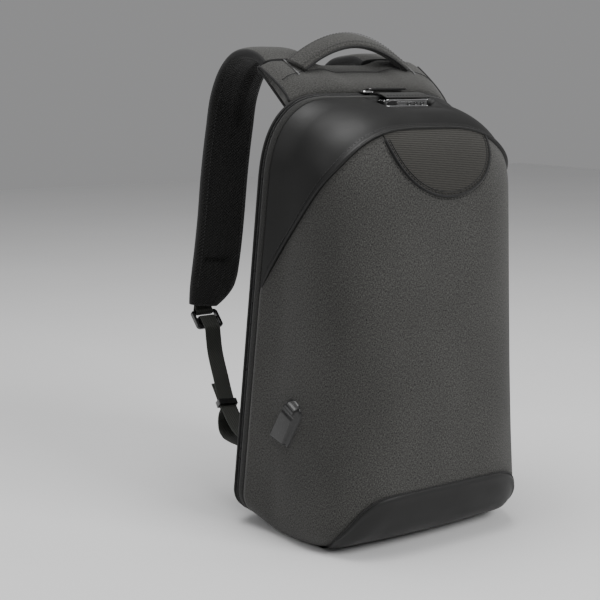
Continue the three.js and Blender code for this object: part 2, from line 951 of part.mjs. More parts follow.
// Rings along a curve whose strip keeps its width as near as it can to a given direction
function sweptRings(curve, steps, widthDirection, sectionAt) {
  return evenShares(steps).map((share) => {
    const centre = curve.getPoint(share);
    const along = curve.getTangent(share).normalize();
    const across = widthDirection.clone().addScaledVector(along, -widthDirection.dot(along)).normalize();
    const through = new THREE.Vector3().crossVectors(along, across);
    return sectionAt(share).map(({ u, v }) =>
      centre.clone().addScaledVector(across, u).addScaledVector(through, v));
  });
}

function curveThrough(points) {
  return new THREE.CatmullRomCurve3(points, false, "centripetal");
}

// Handle

const handleEndShare = 0.985;

function handlePoint(share) {
  const x = handleHalfSpan * share;
  return new THREE.Vector3(x, handleY, handleCrestZ - handleArchDrop * Math.abs(share) ** 1.9);
}

function makeHandle() {
  const points = evenShares(8).map((share) => handlePoint(mix(-handleEndShare, handleEndShare, share)));
  const lean = new THREE.Vector3(0, Math.cos(handleTilt), Math.sin(handleTilt));
  const section = stripSection(handleWidth, handleThickness, 3.4, handleSides);
  const rings = sweptRings(curveThrough(points), handleSteps, lean, () => section);
  return cut(loftRings(rings), makeYoke(pieceGap));
}

// The bright strip sewn across the yoke beside each end of the handle
function makeHandleTrim(side) {
  const x = side * (handleHalfSpan + trimOffset);
  const ring = (share) => {
    const y = handleY + trimLength * (share - 0.5);
    const z = (plan) => yokeTopZ(plan - yokeShift(y), y) + pieceGap;
    const [a, b] = [x - trimWidth / 2, x + trimWidth / 2];
    return [
      new THREE.Vector3(a, y, z(a)),
      new THREE.Vector3(b, y, z(b)),
      new THREE.Vector3(b, y, z(b) + trimThickness),
      new THREE.Vector3(a, y, z(a) + trimThickness),
    ];
  };
  return loftRings([0, 0.35, 0.7, 1].map(ring));
}

// Straps: each row's shares are of the strap's reach behind the yoke, its drop and its spread

const strapRows = [
  { reach: 0, drop: 0.044, spread: 0 },
  { reach: 0.15, drop: 0.014, spread: 0 },
  { reach: 0.35, drop: 0, spread: 0.02 },
  { reach: 0.58, drop: 0.014, spread: 0.04 },
  { reach: 0.79, drop: 0.072, spread: 0.07 },
  { reach: 0.93, drop: 0.166, spread: 0.12 },
  { reach: 0.99, drop: 0.296, spread: 0.2 },
  { reach: 1, drop: 0.477, spread: 0.4 },
  { reach: 0.99, drop: 0.657, spread: 0.58 },
  { reach: 0.99, drop: 0.838, spread: 0.8 },
  { reach: 1.02, drop: 1, spread: 1 },
];

const sides = [
  { name: "left", sign: -1, inward: 0, sag: 0 },
  { name: "right", sign: 1, inward: 12, sag: 7 },
];

function strapPoint(side, row) {
  const x = strapRootX - side.inward + strapFootSpread * row.spread;
  const y = yokeRearY + pieceGap + strapReach * row.reach;
  const z = strapTopZ - strapDrop * row.drop - side.sag * smooth(row.reach * 3) * (1 - row.drop);
  return new THREE.Vector3(side.sign * x, y, z);
}

function makeStrap(side) {
  const curve = curveThrough(strapRows.map((row) => strapPoint(side, row)));
  const sectionAt = (share) => {
    const toFoot = Math.max(0, (share - 0.92) / 0.08) ** 2;
    const width = strapWidth - strapFootNarrowing * toFoot;
    const thickness = strapThickness * (1 - 0.25 * toFoot);
    const section = stripSection(width, thickness, strapSectionPower, strapSides);
    return section.map(({ u, v }) => ({ u: u + strapFootShift * toFoot, v }));
  };
  const rings = sweptRings(curve, strapSteps, new THREE.Vector3(side.sign, 0, 0), sectionAt);
  const root = yokeRearY + pieceGap;
  rings.forEach((ring) => ring.forEach((point) => point.setY(Math.max(point.y, root))));
  rings[0].forEach((point) => point.setY(root));
  rings[strapSteps].forEach((point) => point.setZ(strapFoot(side).z));
  rings[strapSteps - 1].forEach((point) => point.setZ(Math.max(point.z, strapFoot(side).z + strapThickness / 4)));
  return loftRings(rings);
}

// Buckle at the foot of each strap

function strapFoot(side) {
  return strapPoint(side, strapRows[strapRows.length - 1]);
}

function buckleTop(side) {
  const foot = strapFoot(side);
  return new THREE.Vector3(foot.x + side.sign * strapFootShift, foot.y, foot.z - buckleBelowStrap);
}

// A point beside the buckle: behind its middle plane and below its top edge, as it leans to the bag
function byBuckle(side, behind, below) {
  const top = buckleTop(side);
  const y = behind * Math.cos(buckleTilt) - below * Math.sin(buckleTilt);
  const z = -behind * Math.sin(buckleTilt) - below * Math.cos(buckleTilt);
  return new THREE.Vector3(top.x, top.y + y, top.z + z);
}

function makeBuckle(side) {
  const shape = roundedRectangle(buckleWidth, buckleHeight, 4);
  const addSlot = (top, height) => {
    addWindow(shape, buckleSlotWidth, height, 0, buckleHeight / 2 - top - height / 2);
  };
  addSlot(buckleTopBar, buckleUpperSlot);
  addSlot(buckleTopBar + buckleUpperSlot + buckleMiddleBar, buckleLowerSlot);
  const middle = byBuckle(side, 0, buckleHeight / 2);
  const body = extruded(shape, buckleThickness, 0.8);
  return body.rotateX(Math.PI / 2 - buckleTilt).translate(middle.x, middle.y, middle.z);
}

// The loop of webbing sewn to the strap's foot, round the buckle's top bar
function makeStrapLoop(side) {
  const out = buckleThickness / 2 + pieceGap + loopThickness / 2;
  const low = buckleTopBar + pieceGap + loopThickness / 2;
  const high = -1;
  const turn = Math.min(out, 1.6);
  const points = [
    [-out, high], [-out, low - turn], [-out + turn, low], [out - turn, low], [out, low - turn], [out, high],
  ].map(([behind, below]) => byBuckle(side, behind, below));
  return flatStrip(points, loopWidth, loopThickness, new THREE.Vector3(1, 0, 0));
}

// A flat strip bent at each of its points, with mitred corners
function flatStrip(points, width, thickness, widthDirection, adjust = (point) => point) {
  const section = flatSection(width, thickness);
  const rings = points.map((point, i) => {
    const before = points[Math.max(0, i - 1)];
    const after = points[Math.min(points.length - 1, i + 1)];
    const into = point.clone().sub(i > 0 ? before : point).normalize();
    const out = after.clone().sub(point).normalize();
    const along = into.clone().add(out).normalize();
    const across = widthDirection.clone().addScaledVector(along, -widthDirection.dot(along)).normalize();
    const through = new THREE.Vector3().crossVectors(along, across);
    const half = i > 0 && i < points.length - 1 ? into.dot(along) : 1;
    return section.map(({ u, v }) =>
      adjust(point.clone().addScaledVector(across, u).addScaledVector(through, v / half)));
  });
  return loftRings(rings);
}

// Webbing: shares of its reach forward from the buckle, its drop and its spread outwards

const webbingRows = [
  { reach: 0, drop: 0, spread: 0 },
  { reach: 0.09, drop: 0.25, spread: 0.15 },
  { reach: 0.27, drop: 0.49, spread: 0.38 },
  { reach: 0.48, drop: 0.74, spread: 0.62 },
  { reach: 0.8, drop: 0.94, spread: 0.9 },
  { reach: 1, drop: 1, spread: 1 },
];

// Its folded end: shares of the way from the slider to the tab
const foldedRows = [
  { reach: -0.07, drop: 0.2, spread: 0.05 },
  { reach: -0.1, drop: 0.5, spread: 0.12 },
  { reach: -0.04, drop: 0.8, spread: 0.25 },
  { reach: 0.15, drop: 0.98, spread: 0.45 },
  { reach: 0.5, drop: 1.03, spread: 0.7 },
  { reach: 1, drop: 1, spread: 1 },
];

function webbingStart(side) {
  const out = buckleThickness / 2 + pieceGap + webbingThickness / 2;
  return byBuckle(side, -out, buckleHeight + 2);
}

// Where each webbing is sewn down: the tab on the back panel near the foot of the bag
function anchorFace(side) {
  return new THREE.Vector3(side.sign * anchorX, tabRearY(anchorZ), anchorZ);
}

// The rear face of that tab, which leans with the back panel
function tabRearY(z) {
  return edgeY(z) + backPanelThickness + pieceGap + anchorThickness / Math.cos(Math.atan(backLean));
}

// Webbing that reaches the tab is cut off flat just behind it
function behindTab(point) {
  return point.setY(Math.max(point.y, tabRearY(point.z) + pieceGap));
}

function webbingPoint(side, row) {
  const start = webbingStart(side);
  const end = anchorFace(side);
  return new THREE.Vector3(
    mix(start.x, end.x, row.spread),
    mix(start.y, end.y + pieceGap, row.reach),
    mix(start.z, end.z + anchorHeight / 5, row.drop),
  );
}

function makeWebbing(side) {
  const out = buckleThickness / 2 + pieceGap + webbingThickness / 2;
  const overBar = buckleTopBar + buckleUpperSlot - pieceGap - webbingThickness / 2;
  const turn = 1.6;
  const wrap = [
    [out, overBar + webbingTail], [out, overBar + turn], [out - turn, overBar],
    [-out + turn, overBar], [-out, overBar + turn], [-out, buckleHeight - 1],
  ].map(([behind, below]) => byBuckle(side, behind, below));
  const curve = webbingCurve(side);
  const run = evenShares(14).map((share) => curve.getPoint(share));
  return flatStrip([...wrap, ...run], webbingWidth, webbingThickness, new THREE.Vector3(1, 0, 0), behindTab);
}

function webbingCurve(side) {
  return curveThrough(webbingRows.map((row) => webbingPoint(side, row)));
}

// The slider that keeps the webbing and its folded end together
function sliderFrame(side) {
  const curve = webbingCurve(side);
  const centre = curve.getPoint(sliderShare);
  const along = curve.getTangent(sliderShare).normalize();
  const x = new THREE.Vector3(1, 0, 0);
  const across = x.clone().addScaledVector(along, -x.dot(along)).normalize();
  const through = new THREE.Vector3().crossVectors(along, across);
  const below = through.z < 0 ? 1 : -1;
  return { centre, along, across, through: through.multiplyScalar(below) };
}

const foldedPitch = webbingThickness + 2 * pieceGap;

function makeSlider(side) {
  const { centre, along, across, through } = sliderFrame(side);
  const holeHeight = webbingThickness + foldedPitch + 4 * pieceGap;
  const holeWidth = webbingWidth + 2 * pieceGap;
  const shape = roundedRectangle(holeWidth + 2 * sliderWall, holeHeight + 2 * sliderWall, 1.3);
  addWindow(shape, holeWidth, holeHeight, 0, 0);
  const body = extruded(shape, sliderLength, 0.4);
  const turn = new THREE.Matrix4().makeBasis(across, through, new THREE.Vector3().crossVectors(across, through));
  const place = centre.clone().addScaledVector(through, foldedPitch / 2);
  turn.setPosition(place);
  return body.applyMatrix4(turn);
}

// The folded end lies below the webbing, passes the slider and hangs in a loop down to the tab
function makeWebbingTail(side) {
  const { centre, along, through } = sliderFrame(side);
  const laid = (distance, drop) =>
    centre.clone().addScaledVector(along, distance).addScaledVector(through, drop);
  const end = anchorFace(side);
  const low = new THREE.Vector3(end.x, end.y + pieceGap, end.z - anchorHeight / 16);
  const out = laid(0.9 * sliderLength, foldedPitch);
  const hanging = foldedRows.map((row) =>
    new THREE.Vector3(mix(out.x, low.x, row.spread), mix(out.y, low.y, row.reach), mix(out.z, low.z, row.drop)));
  const points = [
    laid(-foldedEnd, 1.5 * foldedPitch),
    laid(-foldedEnd / 2, 1.1 * foldedPitch),
    laid(-0.6 * sliderLength, foldedPitch),
    laid(0.5 * sliderLength, foldedPitch),
    out,
    ...hanging,
  ];
  const curve = curveThrough(points);
  const run = evenShares(20).map((share) => curve.getPoint(share));
  return flatStrip(run, webbingWidth, webbingThickness, new THREE.Vector3(1, 0, 0), behindTab);
}

function makeAnchorTab(side) {
  const body = extruded(roundedRectangle(anchorWidth, anchorHeight, 3), anchorThickness, 0.6, 1);
  const lean = Math.atan(backLean);
  const y = (tabRearY(anchorZ) + edgeY(anchorZ) + backPanelThickness + pieceGap) / 2;
  return body.rotateX(Math.PI / 2 + lean).translate(side.sign * anchorX, y, anchorZ);
}

// Number lock

const lockMiddleY = lockFrontY + pieceGap + (lockDepth - 2 * pieceGap) / 2;
const lockMiddleZ = lockTopZ - lockHeight / 2;
const dialAxisY = lockFrontY + pieceGap + dialRadius - dialProud;
const dialAxisZ = lockTopZ - dialRadius + dialProud / 2 - 1.2;

function dialX(number) {
  return lockCentreX + dialOffset + (number - 2) * dialPitch;
}

function cylinderAlongX(radius, length, x, y, z, segments) {
  const body = closedBody(new THREE.CylinderGeometry(radius, radius, length, segments));
  return body.rotateZ(Math.PI / 2).translate(x, y, z);
}

function makeLockHousing() {
  const shape = roundedRectangle(lockDepth - 2 * pieceGap, lockHeight, lockCorner);
  const body = extruded(shape, lockWidth, 1.2).rotateY(Math.PI / 2).rotateX(Math.PI / 2);
  body.translate(lockCentreX, lockMiddleY, lockMiddleZ);
  const tools = [1, 2, 3].flatMap((number) => {
    const x = dialX(number);
    const pocket = cylinderAlongX(dialRadius + dialClearance, dialWidth + 2 * dialClearance,
      x, dialAxisY, dialAxisZ, dialTeeth);
    const bore = cylinderAlongX(dialAxleRadius + dialClearance,
      dialWidth + 2 * (dialAxleReach + 2 * dialClearance), x, dialAxisY, dialAxisZ, axleSides);
    return [pocket, bore];
  });
  return cut(body, ...tools);
}

function makeDial(number) {
  const x = dialX(number);
  const wheel = cylinderAlongX(dialRadius, dialWidth, x, dialAxisY, dialAxisZ, dialTeeth);
  const axle = cylinderAlongX(dialAxleRadius, dialWidth + 2 * dialAxleReach, x, dialAxisY, dialAxisZ, axleSides);
  return join(wheel, axle);
}

// The grey flap lies flat over the band and slopes down over the lock
function makeLockFlap() {
  const rear = edgeY(bodyHeight) - zipStart - zipWidth - pieceGap;
  const bend = lockFrontY + lockDepth + pieceGap;
  const front = lockFrontY + 1;
  const over = bodyHeight + pieceGap + flapThickness / 2;
  const low = lockTopZ + pieceGap + flapThickness / 2;
  const x = lockCentreX + flapShift;
  const points = [[rear, over], [bend, over], [front, low]].map(([y, z]) => new THREE.Vector3(x, y, z));
  return flatStrip(points, flapWidth, flapThickness, new THREE.Vector3(1, 0, 0));
}

// The zip's slider rides on the coil, with its pull laid along the zip over the lock

const zipMiddleY = edgeY(bodyHeight) - zipStart - zipWidth / 2;
const sliderTopZ = bodyHeight + zipProud + pieceGap + sliderBodyHeight;

const sliderX = lockCentreX - lockWidth / 2 - 4;

function makeZipSlider() {
  const shape = roundedRectangle(sliderBodyLength, sliderBodyWidth, 2.5);
  const body = extruded(shape, sliderBodyHeight, 0.8);
  return body.translate(sliderX, zipMiddleY + 1, sliderTopZ - sliderBodyHeight / 2);
}

function makePull() {
  const shape = roundedRectangle(pullLength, pullWidth, 3);
  addWindow(shape, pullWindowLength, pullWindowWidth, 0, 0);
  const body = extruded(shape, pullThickness, 0.6);
  const rise = pieceGap + pullThickness / 2;
  return body.translate(sliderX + pullLength / 2 + 1, zipMiddleY + 1, sliderTopZ + rise);
}

// Charging port cover

// The side surface of the left wall at a height and depth
function sideX(y, z) {
  const forward = (edgeY(z) - y) / depthAt(z);
  let outlineZ = z;
  let across = 1;
  for (let i = 0; i < 4; i += 1) {
    const power = powerTowards(mix(baseHalfWidth, topHalfWidth, outlineZ / bodyHeight), outlineZ);
    across = (1 - forward ** power) ** (1 / power);
    outlineZ = middleZ + (z - middleZ) / (coreShare + (1 - coreShare) * across);
  }
  const wide = mix(baseHalfWidth, topHalfWidth, outlineZ / bodyHeight);
  const narrowed = wide * (1 - frontNarrowing / baseHalfWidth * smooth(forward / frontShare));
  return -narrowed * across;
}

// Points of the cover over its own plane: across from front to back, up from its foot to its rounded top
function coverPoint(across, up, lift) {
  const topping = Math.max(0, (up - coverTopShare) / (1 - coverTopShare));
  const half = coverHalfWidth * mix(1, coverTaper, up) * Math.sqrt(Math.max(0.02, 1 - 0.96 * topping ** 2.4));
  const u = across * half;
  const v = (up - 0.5) * coverHeight - (coverFootSlant * across + coverFootDrop) * (1 - up);
  const y = coverY + u * Math.cos(coverTilt) - v * Math.sin(coverTilt);
  const z = coverZ + u * Math.sin(coverTilt) + v * Math.cos(coverTilt);
  return new THREE.Vector3(sideX(y, z) - pieceGap - lift, y, z);
}

function makeUsbCover() {
  const rowAt = (up, lift) => evenShares(coverColumns).map((share) => coverPoint(2 * share - 1, up, lift(2 * share - 1)));
  const crown = (up) => {
    const ends = Math.min(1, up / 0.08, (1 - up) / 0.05);
    const ridge = 1 + 0.35 * Math.exp(-(((up - 0.86) / 0.05) ** 2));
    return (across) => coverFlange
      + (coverThickness - coverFlange) * ends * ridge * (Math.abs(across) > 0.9 ? 0 : 1);
  };
  const ups = evenShares(coverRows).concat([0.04, 0.81, 0.92]).sort((a, b) => a - b);
  const outside = ups.map((up) => rowAt(up, crown(up)));
  const inside = ups.map((up) => rowAt(up, () => 0));
  const skin = new Skin();
  skin.grid(outside, false);
  skin.grid([...inside].reverse(), false);
  skin.grid([outside[outside.length - 1], inside[inside.length - 1]], false);
  skin.grid([inside[0], outside[0]], false);
  closeEnd(skin, outside, inside, 0, false);
  closeEnd(skin, outside, inside, coverColumns, true);
  return skin.body();
}

// Assembly

addPiece("front_panel", makeFrontPanel(), looks.fabric);
addPiece("upper_panel", makeUpperPanel(), looks.coated);
addPiece("lower_panel", makeLowerPanel(), looks.coated);
addPiece("logo_patch", makePatch(), looks.ribbed);
addPiece("side_band", makeSideBand(), looks.fabric);
addPiece("main_zip", makeZip(), looks.tape);
addPiece("edge_binding", makeBinding(), looks.tape);
addPiece("back_panel", makeBackPanel(), looks.fabric);
addPiece("back_pad", makeBackPad(), looks.mesh);
addPiece("top_yoke", makeYoke(), looks.fabric);
addPiece("carry_handle", makeHandle(), looks.fabric);
addPiece("handle_trim_left", makeHandleTrim(-1), looks.gunmetal);
addPiece("handle_trim_right", makeHandleTrim(1), looks.gunmetal);

for (const side of sides) {
  addPiece(`shoulder_strap_${side.name}`, makeStrap(side), looks.mesh);
  addPiece(`strap_loop_${side.name}`, makeStrapLoop(side), looks.webbing);
  addPiece(`ladder_lock_${side.name}`, makeBuckle(side), looks.gloss);
  addPiece(`strap_webbing_${side.name}`, makeWebbing(side), looks.webbing);
  addPiece(`webbing_end_${side.name}`, makeWebbingTail(side), looks.webbing);
  addPiece(`web_slider_${side.name}`, makeSlider(side), looks.gloss);
  addPiece(`anchor_tab_${side.name}`, makeAnchorTab(side), looks.webbing);
}

addPiece("lock_housing", makeLockHousing(), looks.gunmetal);
for (const number of [1, 2, 3]) {
  addPiece(`lock_dial_${number}`, makeDial(number), looks.gloss);
}
addPiece("lock_flap", makeLockFlap(), looks.fabric);
addPiece("zip_slider", makeZipSlider(), looks.gunmetal);
addPiece("zip_pull", makePull(), looks.gloss);
addPiece("usb_cover", makeUsbCover(), looks.rubber);

export default bag;
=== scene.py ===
"""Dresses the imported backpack: cloth, coated panels, zip, straps, lock, light and camera."""
import math

import bpy
import numpy as np
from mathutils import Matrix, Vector
from mathutils.bvhtree import BVHTree


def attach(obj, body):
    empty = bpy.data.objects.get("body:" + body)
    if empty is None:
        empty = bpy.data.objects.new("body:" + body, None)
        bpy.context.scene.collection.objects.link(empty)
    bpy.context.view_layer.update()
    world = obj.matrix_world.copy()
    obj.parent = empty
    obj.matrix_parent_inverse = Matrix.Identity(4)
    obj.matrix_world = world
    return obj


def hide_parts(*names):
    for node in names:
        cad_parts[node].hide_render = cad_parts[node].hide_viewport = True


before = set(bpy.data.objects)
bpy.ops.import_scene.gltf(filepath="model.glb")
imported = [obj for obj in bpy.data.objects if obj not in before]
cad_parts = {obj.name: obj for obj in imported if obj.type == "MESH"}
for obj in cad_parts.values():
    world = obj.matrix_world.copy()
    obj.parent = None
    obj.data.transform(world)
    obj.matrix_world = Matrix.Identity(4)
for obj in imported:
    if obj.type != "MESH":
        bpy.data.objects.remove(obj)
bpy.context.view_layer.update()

# Sizes of the body, in metres
BODY_HEIGHT = 0.445
BASE_HALF_WIDTH = 0.140
TOP_HALF_WIDTH = 0.127
FRONT_NARROWING = 0.009
BASE_DEPTH = 0.186
TOP_DEPTH = 0.118
BACK_EDGE_Y = 0.093
BACK_LEAN = 0.11
BACK_EDGE_RISE = 0.012
CORNER_RADIUS = 0.026
SHOULDER_WIDTH = 0.066
SHOULDER_DROP = 0.085
SHOULDER_POWER = 2.54
FRONT_SHOULDER_WIDTH = 0.089
FRONT_SHOULDER_DROP = 0.077
SIDE_POWER = 3.9
TOP_POWER = 3.9
TOP_FALL = 0.021
TOP_FALL_REACH = 0.110
BASE_POWER = 5
CORE_SHARE = 0.4
FRONT_SHARE = 0.35
BASE_FLATTENING = 0.003
STANDING_FLATTENING = 0.0105
STANDING_REACH = 0.015
STANDING_HALF_WIDTH = 0.118
STANDING_FADE = 0.040
STANDING_FORWARD = 0.6
MIDDLE_Z = BODY_HEIGHT / 2

# Seams, patch and lower panel
CROWN_HEIGHT = 0.416
CROWN_DROP = 0.030
CROWN_HALF_WIDTH = 0.101
CROWN_POWER = 3.3
SEAM_FALL = 1.05
SEAM_TURN_Y = -0.038
SEAM_TURN_LENGTH = 0.015
LOWER_SEAM = 0.0645
LOWER_SEAM_DROP = 0.018
LOWER_SEAM_HALF = 0.100
LOWER_PANEL_HALF = 0.112
PATCH_HALF_WIDTH = 0.064
PATCH_HEIGHT = 0.058
PATCH_X = 0.0065
PATCH_TOP = CROWN_HEIGHT - 0.0085

# Distances in front of the back edge
ZIP_FROM = 0.0015
ZIP_TO = 0.0057
BAND_FROM = 0.0060
BAND_TO = 0.0140
PANEL_FROM = 0.0143

# Lock, padding, handle and straps
LOCK_X = 0.025
LOCK_HALF = 0.028
LOCK_DEPTH = 0.014
LOCK_TOP = 0.440
LOCK_DIP = 0.006
LOCK_WELL = 0.009
LOCK_DIP_FADE_LEFT = 0.020
LOCK_DIP_FADE_RIGHT = 0.009
LOCK_DIP_LENGTH = 0.044
LOCK_FRONT_Y = 0.01575
YOKE_HALF = 0.103
YOKE_REAR_Y = 0.096
YOKE_CREST = 0.030
YOKE_SHIFT = 0.006
STRAP_ROOT_X = 0.068
STRAP_WIDTH = 0.058
STRAP_THICKNESS = 0.014
HANDLE_HALF_SPAN = 0.070
HANDLE_WIDTH = 0.028
HANDLE_THICKNESS = 0.009
HANDLE_TILT = 0.48
HANDLE_CREST = 0.500
HANDLE_Y = 0.079
HANDLE_DROP = 0.027
GAP = 0.0004
BINDING_BEHIND = 0.0024
BACK_INSET = 0.0026
BACK_THICKNESS = 0.008
BACK_ROUNDING = 0.0048
PAD_INSET = 0.034
PAD_THICKNESS = 0.013
PAD_ROUNDING = 0.009
WEBBING_WIDTH = 0.019
WEBBING_THICKNESS = 0.0016

BODY = "bag"


# Small maths

def smooth(value):
    t = np.clip(value, 0, 1)
    return t * t * (3 - 2 * t)


def mix(a, b, t):
    return a + (b - a) * t


def unit(vectors):
    length = np.linalg.norm(vectors, axis=-1, keepdims=True)
    return vectors / np.maximum(length, 1e-12)


def bump(value, centre, width):
    return np.exp(-((value - centre) / width) ** 2)


def between(a, b, start, end, place):
    """The value at a place on the line from a (at start) to b (at end)."""
    return ((end - place) * a + (place - start) * b) / (end - start)


def curve_through(points, count):
    """A centripetal Catmull-Rom curve through the points, sampled evenly in its parameter."""
    p = np.array(points, float)
    p = np.vstack([2 * p[0] - p[1], p, 2 * p[-1] - p[-2]])
    out = []
    for share in np.linspace(0, len(points) - 1, count):
        i = min(int(share), len(points) - 2)
        a, b, c, d = p[i:i + 4]
        gaps = [max(np.linalg.norm(n - m), 1e-9) ** 0.5 for m, n in ((a, b), (b, c), (c, d))]
        k0, k1, k2, k3 = np.concatenate([[0], np.cumsum(gaps)])
        t = mix(k1, k2, share - i)
        ab, bc, cd = between(a, b, k0, k1, t), between(b, c, k1, k2, t), between(c, d, k2, k3, t)
        out.append(between(between(ab, bc, k0, k2, t), between(bc, cd, k1, k3, t), k1, k2, t))
    return np.array(out)


def resampled(path, pitch):
    """Points along a polyline at an even distance."""
    steps = np.linalg.norm(np.diff(path, axis=0), axis=1)
    reach = np.concatenate([[0], np.cumsum(steps)])
    places = np.arange(pitch / 2, reach[-1], pitch)
    return np.stack([np.interp(places, reach, path[:, i]) for i in range(3)], axis=1)


# The body's surface

STEPS = {"base": 14, "corner": 14, "side": 40, "shoulder": 40, "top": 18}


def outline(inset, at_front):
    """The body's outline from the middle of the base up the left side and down the right one."""
    floor = inset + (0 if at_front else BACK_EDGE_RISE)
    top = BODY_HEIGHT - inset
    corner = max(0.004, CORNER_RADIUS - inset)
    shoulder_x = (FRONT_SHOULDER_WIDTH if at_front else SHOULDER_WIDTH) - inset
    shoulder_z = (FRONT_SHOULDER_DROP if at_front else SHOULDER_DROP) - inset

    def width_at(z):
        return mix(BASE_HALF_WIDTH, TOP_HALF_WIDTH, z / BODY_HEIGHT) - inset

    def shares(part):
        return np.arange(STEPS[part]) / STEPS[part]

    base_x = (width_at(floor) - corner) * shares("base")
    turn = np.pi / 2 * shares("corner")
    corner_z = floor + corner * (1 - np.cos(turn))
    corner_x = width_at(corner_z) - corner * (1 - np.sin(turn))
    side_z = mix(floor + corner, top - shoulder_z, shares("side"))
    turn = np.pi / 2 * shares("shoulder")
    power = 2 / SHOULDER_POWER
    arch_z = top - shoulder_z * (1 - np.sin(turn) ** power)
    arch_x = width_at(arch_z) - shoulder_x * (1 - np.cos(turn) ** power)
    top_x = (width_at(top) - shoulder_x) * (1 - np.arange(STEPS["top"] + 1) / STEPS["top"])
    x = np.concatenate([base_x, corner_x, width_at(side_z), arch_x, top_x])
    z = np.concatenate([np.full(base_x.shape, floor), corner_z, side_z, arch_z, np.full(top_x.shape, top)])
    if at_front:
        x = x * (1 - FRONT_NARROWING / BASE_HALF_WIDTH)
    return np.concatenate([-x, x[1:-1][::-1]]), np.concatenate([z, z[1:-1][::-1]])


RIM_X, RIM_Z = outline(0, False)
FRONT_X, FRONT_Z = outline(0, True)
COLUMNS = len(RIM_X)


def power_towards(outwards, z):
    upward = np.sin(np.arctan2(z - MIDDLE_Z, outwards))
    return mix(SIDE_POWER, np.where(upward > 0, TOP_POWER, BASE_POWER), upward ** 4)


POWER = power_towards(np.abs(RIM_X), RIM_Z)


def edge_y(z):
    return BACK_EDGE_Y - BACK_LEAN * z


def depth_at(z):
    return mix(BASE_DEPTH, TOP_DEPTH, z / BODY_HEIGHT)


def settled(z, x, forward):
    """The base pressed flat where the bag stands, most of all under the middle of its rear half."""
    edges = z - BASE_FLATTENING * np.maximum(0, 1 - z / (10 * BASE_FLATTENING))
    middle = z - STANDING_FLATTENING * np.maximum(0, 1 - z / STANDING_REACH)
    across = smooth((STANDING_HALF_WIDTH - np.abs(x)) / STANDING_FADE)
    along = smooth(2 * (1 - forward / STANDING_FORWARD))
    return np.maximum(0, mix(edges, middle, across * along))


def shell(angle, columns=None):
    """Surface points: rows of angles over the columns, 0 at the back edge, a right angle at the front."""
    pick = np.arange(COLUMNS) if columns is None else columns
    angle = np.clip(angle, 1e-6, np.pi / 2)
    c = np.cos(angle)
    s = np.sin(angle)
    c = np.where(angle > np.pi / 2 - 1e-6, 0, c)
    reach = (c ** POWER[pick] + s ** POWER[pick]) ** (-1 / POWER[pick])
    across = reach * c
    forward = reach * s
    share = smooth(forward / FRONT_SHARE)
    x = mix(RIM_X[pick], FRONT_X[pick], share)
    level = mix(RIM_Z[pick], FRONT_Z[pick], share)
    outline_z = level - TOP_FALL * forward * smooth(1 - (BODY_HEIGHT - level) / TOP_FALL_REACH)
    z = mix(mix(MIDDLE_Z, outline_z, CORE_SHARE), outline_z, across)
    y = edge_y(z) - depth_at(z) * forward
    x = x * across
    return np.stack([x, y, settled(z, x, forward)], axis=-1)


def angle_in_front(distance, columns=None):
    pick = np.arange(COLUMNS) if columns is None else columns
    forward = distance / depth_at(RIM_Z[pick])
    return np.arctan2(forward, (1 - forward ** POWER[pick]) ** (1 / POWER[pick]))


def surface_rate(angle, columns=None):
    """Metres along the surface for one radian."""
    step = 1e-3
    return np.linalg.norm(shell(angle + step, columns) - shell(angle - step, columns), axis=-1) / (2 * step)


def upper_seam_z(x, y):
    behind = y - SEAM_TURN_Y
    turned = (np.hypot(behind, SEAM_TURN_LENGTH) + behind) / 2
    return CROWN_HEIGHT - CROWN_DROP * (np.abs(x) / CROWN_HALF_WIDTH) ** CROWN_POWER - SEAM_FALL * turned


def lower_seam_z(x):
    return LOWER_SEAM - LOWER_SEAM_DROP * (np.abs(x) / LOWER_SEAM_HALF) ** 8


def seam_angles():
    """For each column the angle of the upper seam, or nan where the cloth reaches the back edge."""
    edge = angle_in_front(PANEL_FROM)
    shares = np.linspace(0, 1, 900)[:, None]
    angles = mix(np.pi / 2, edge[None, :], shares)
    points = shell(angles)
    above = points[..., 2] > upper_seam_z(points[..., 0], points[..., 1])
    first = np.argmax(above, axis=0)
    found = above.any(axis=0) & (first > 0)
    seam = np.where(found, angles[first, np.arange(COLUMNS)], np.nan)
    narrowest = edge + 0.0012 / surface_rate(edge)
    return edge, np.where(found, np.maximum(seam, narrowest), np.nan)


EDGE_ANGLE, SEAM_ANGLE = seam_angles()


# Mesh building

def grid_normals(points, wrap):
    """Outward normals of a grid of points, rows by columns."""
    if wrap:
        along = np.roll(points, -1, axis=1) - np.roll(points, 1, axis=1)
    else:
        along = np.gradient(points, axis=1)
    down = np.gradient(points, axis=0)
    return unit(np.cross(along, down))


def grid_uv(points):
    """Coordinates in metres: the length along the columns and along the rows."""
    across = np.linalg.norm(np.diff(points, axis=1), axis=-1).mean(axis=0)
    down = np.linalg.norm(np.diff(points, axis=0), axis=-1).mean(axis=1)
    u = np.concatenate([[0], np.cumsum(across)])
    v = np.concatenate([[0], np.cumsum(down)])
    return np.stack(np.broadcast_arrays(u[None, :], v[:, None]), axis=-1)


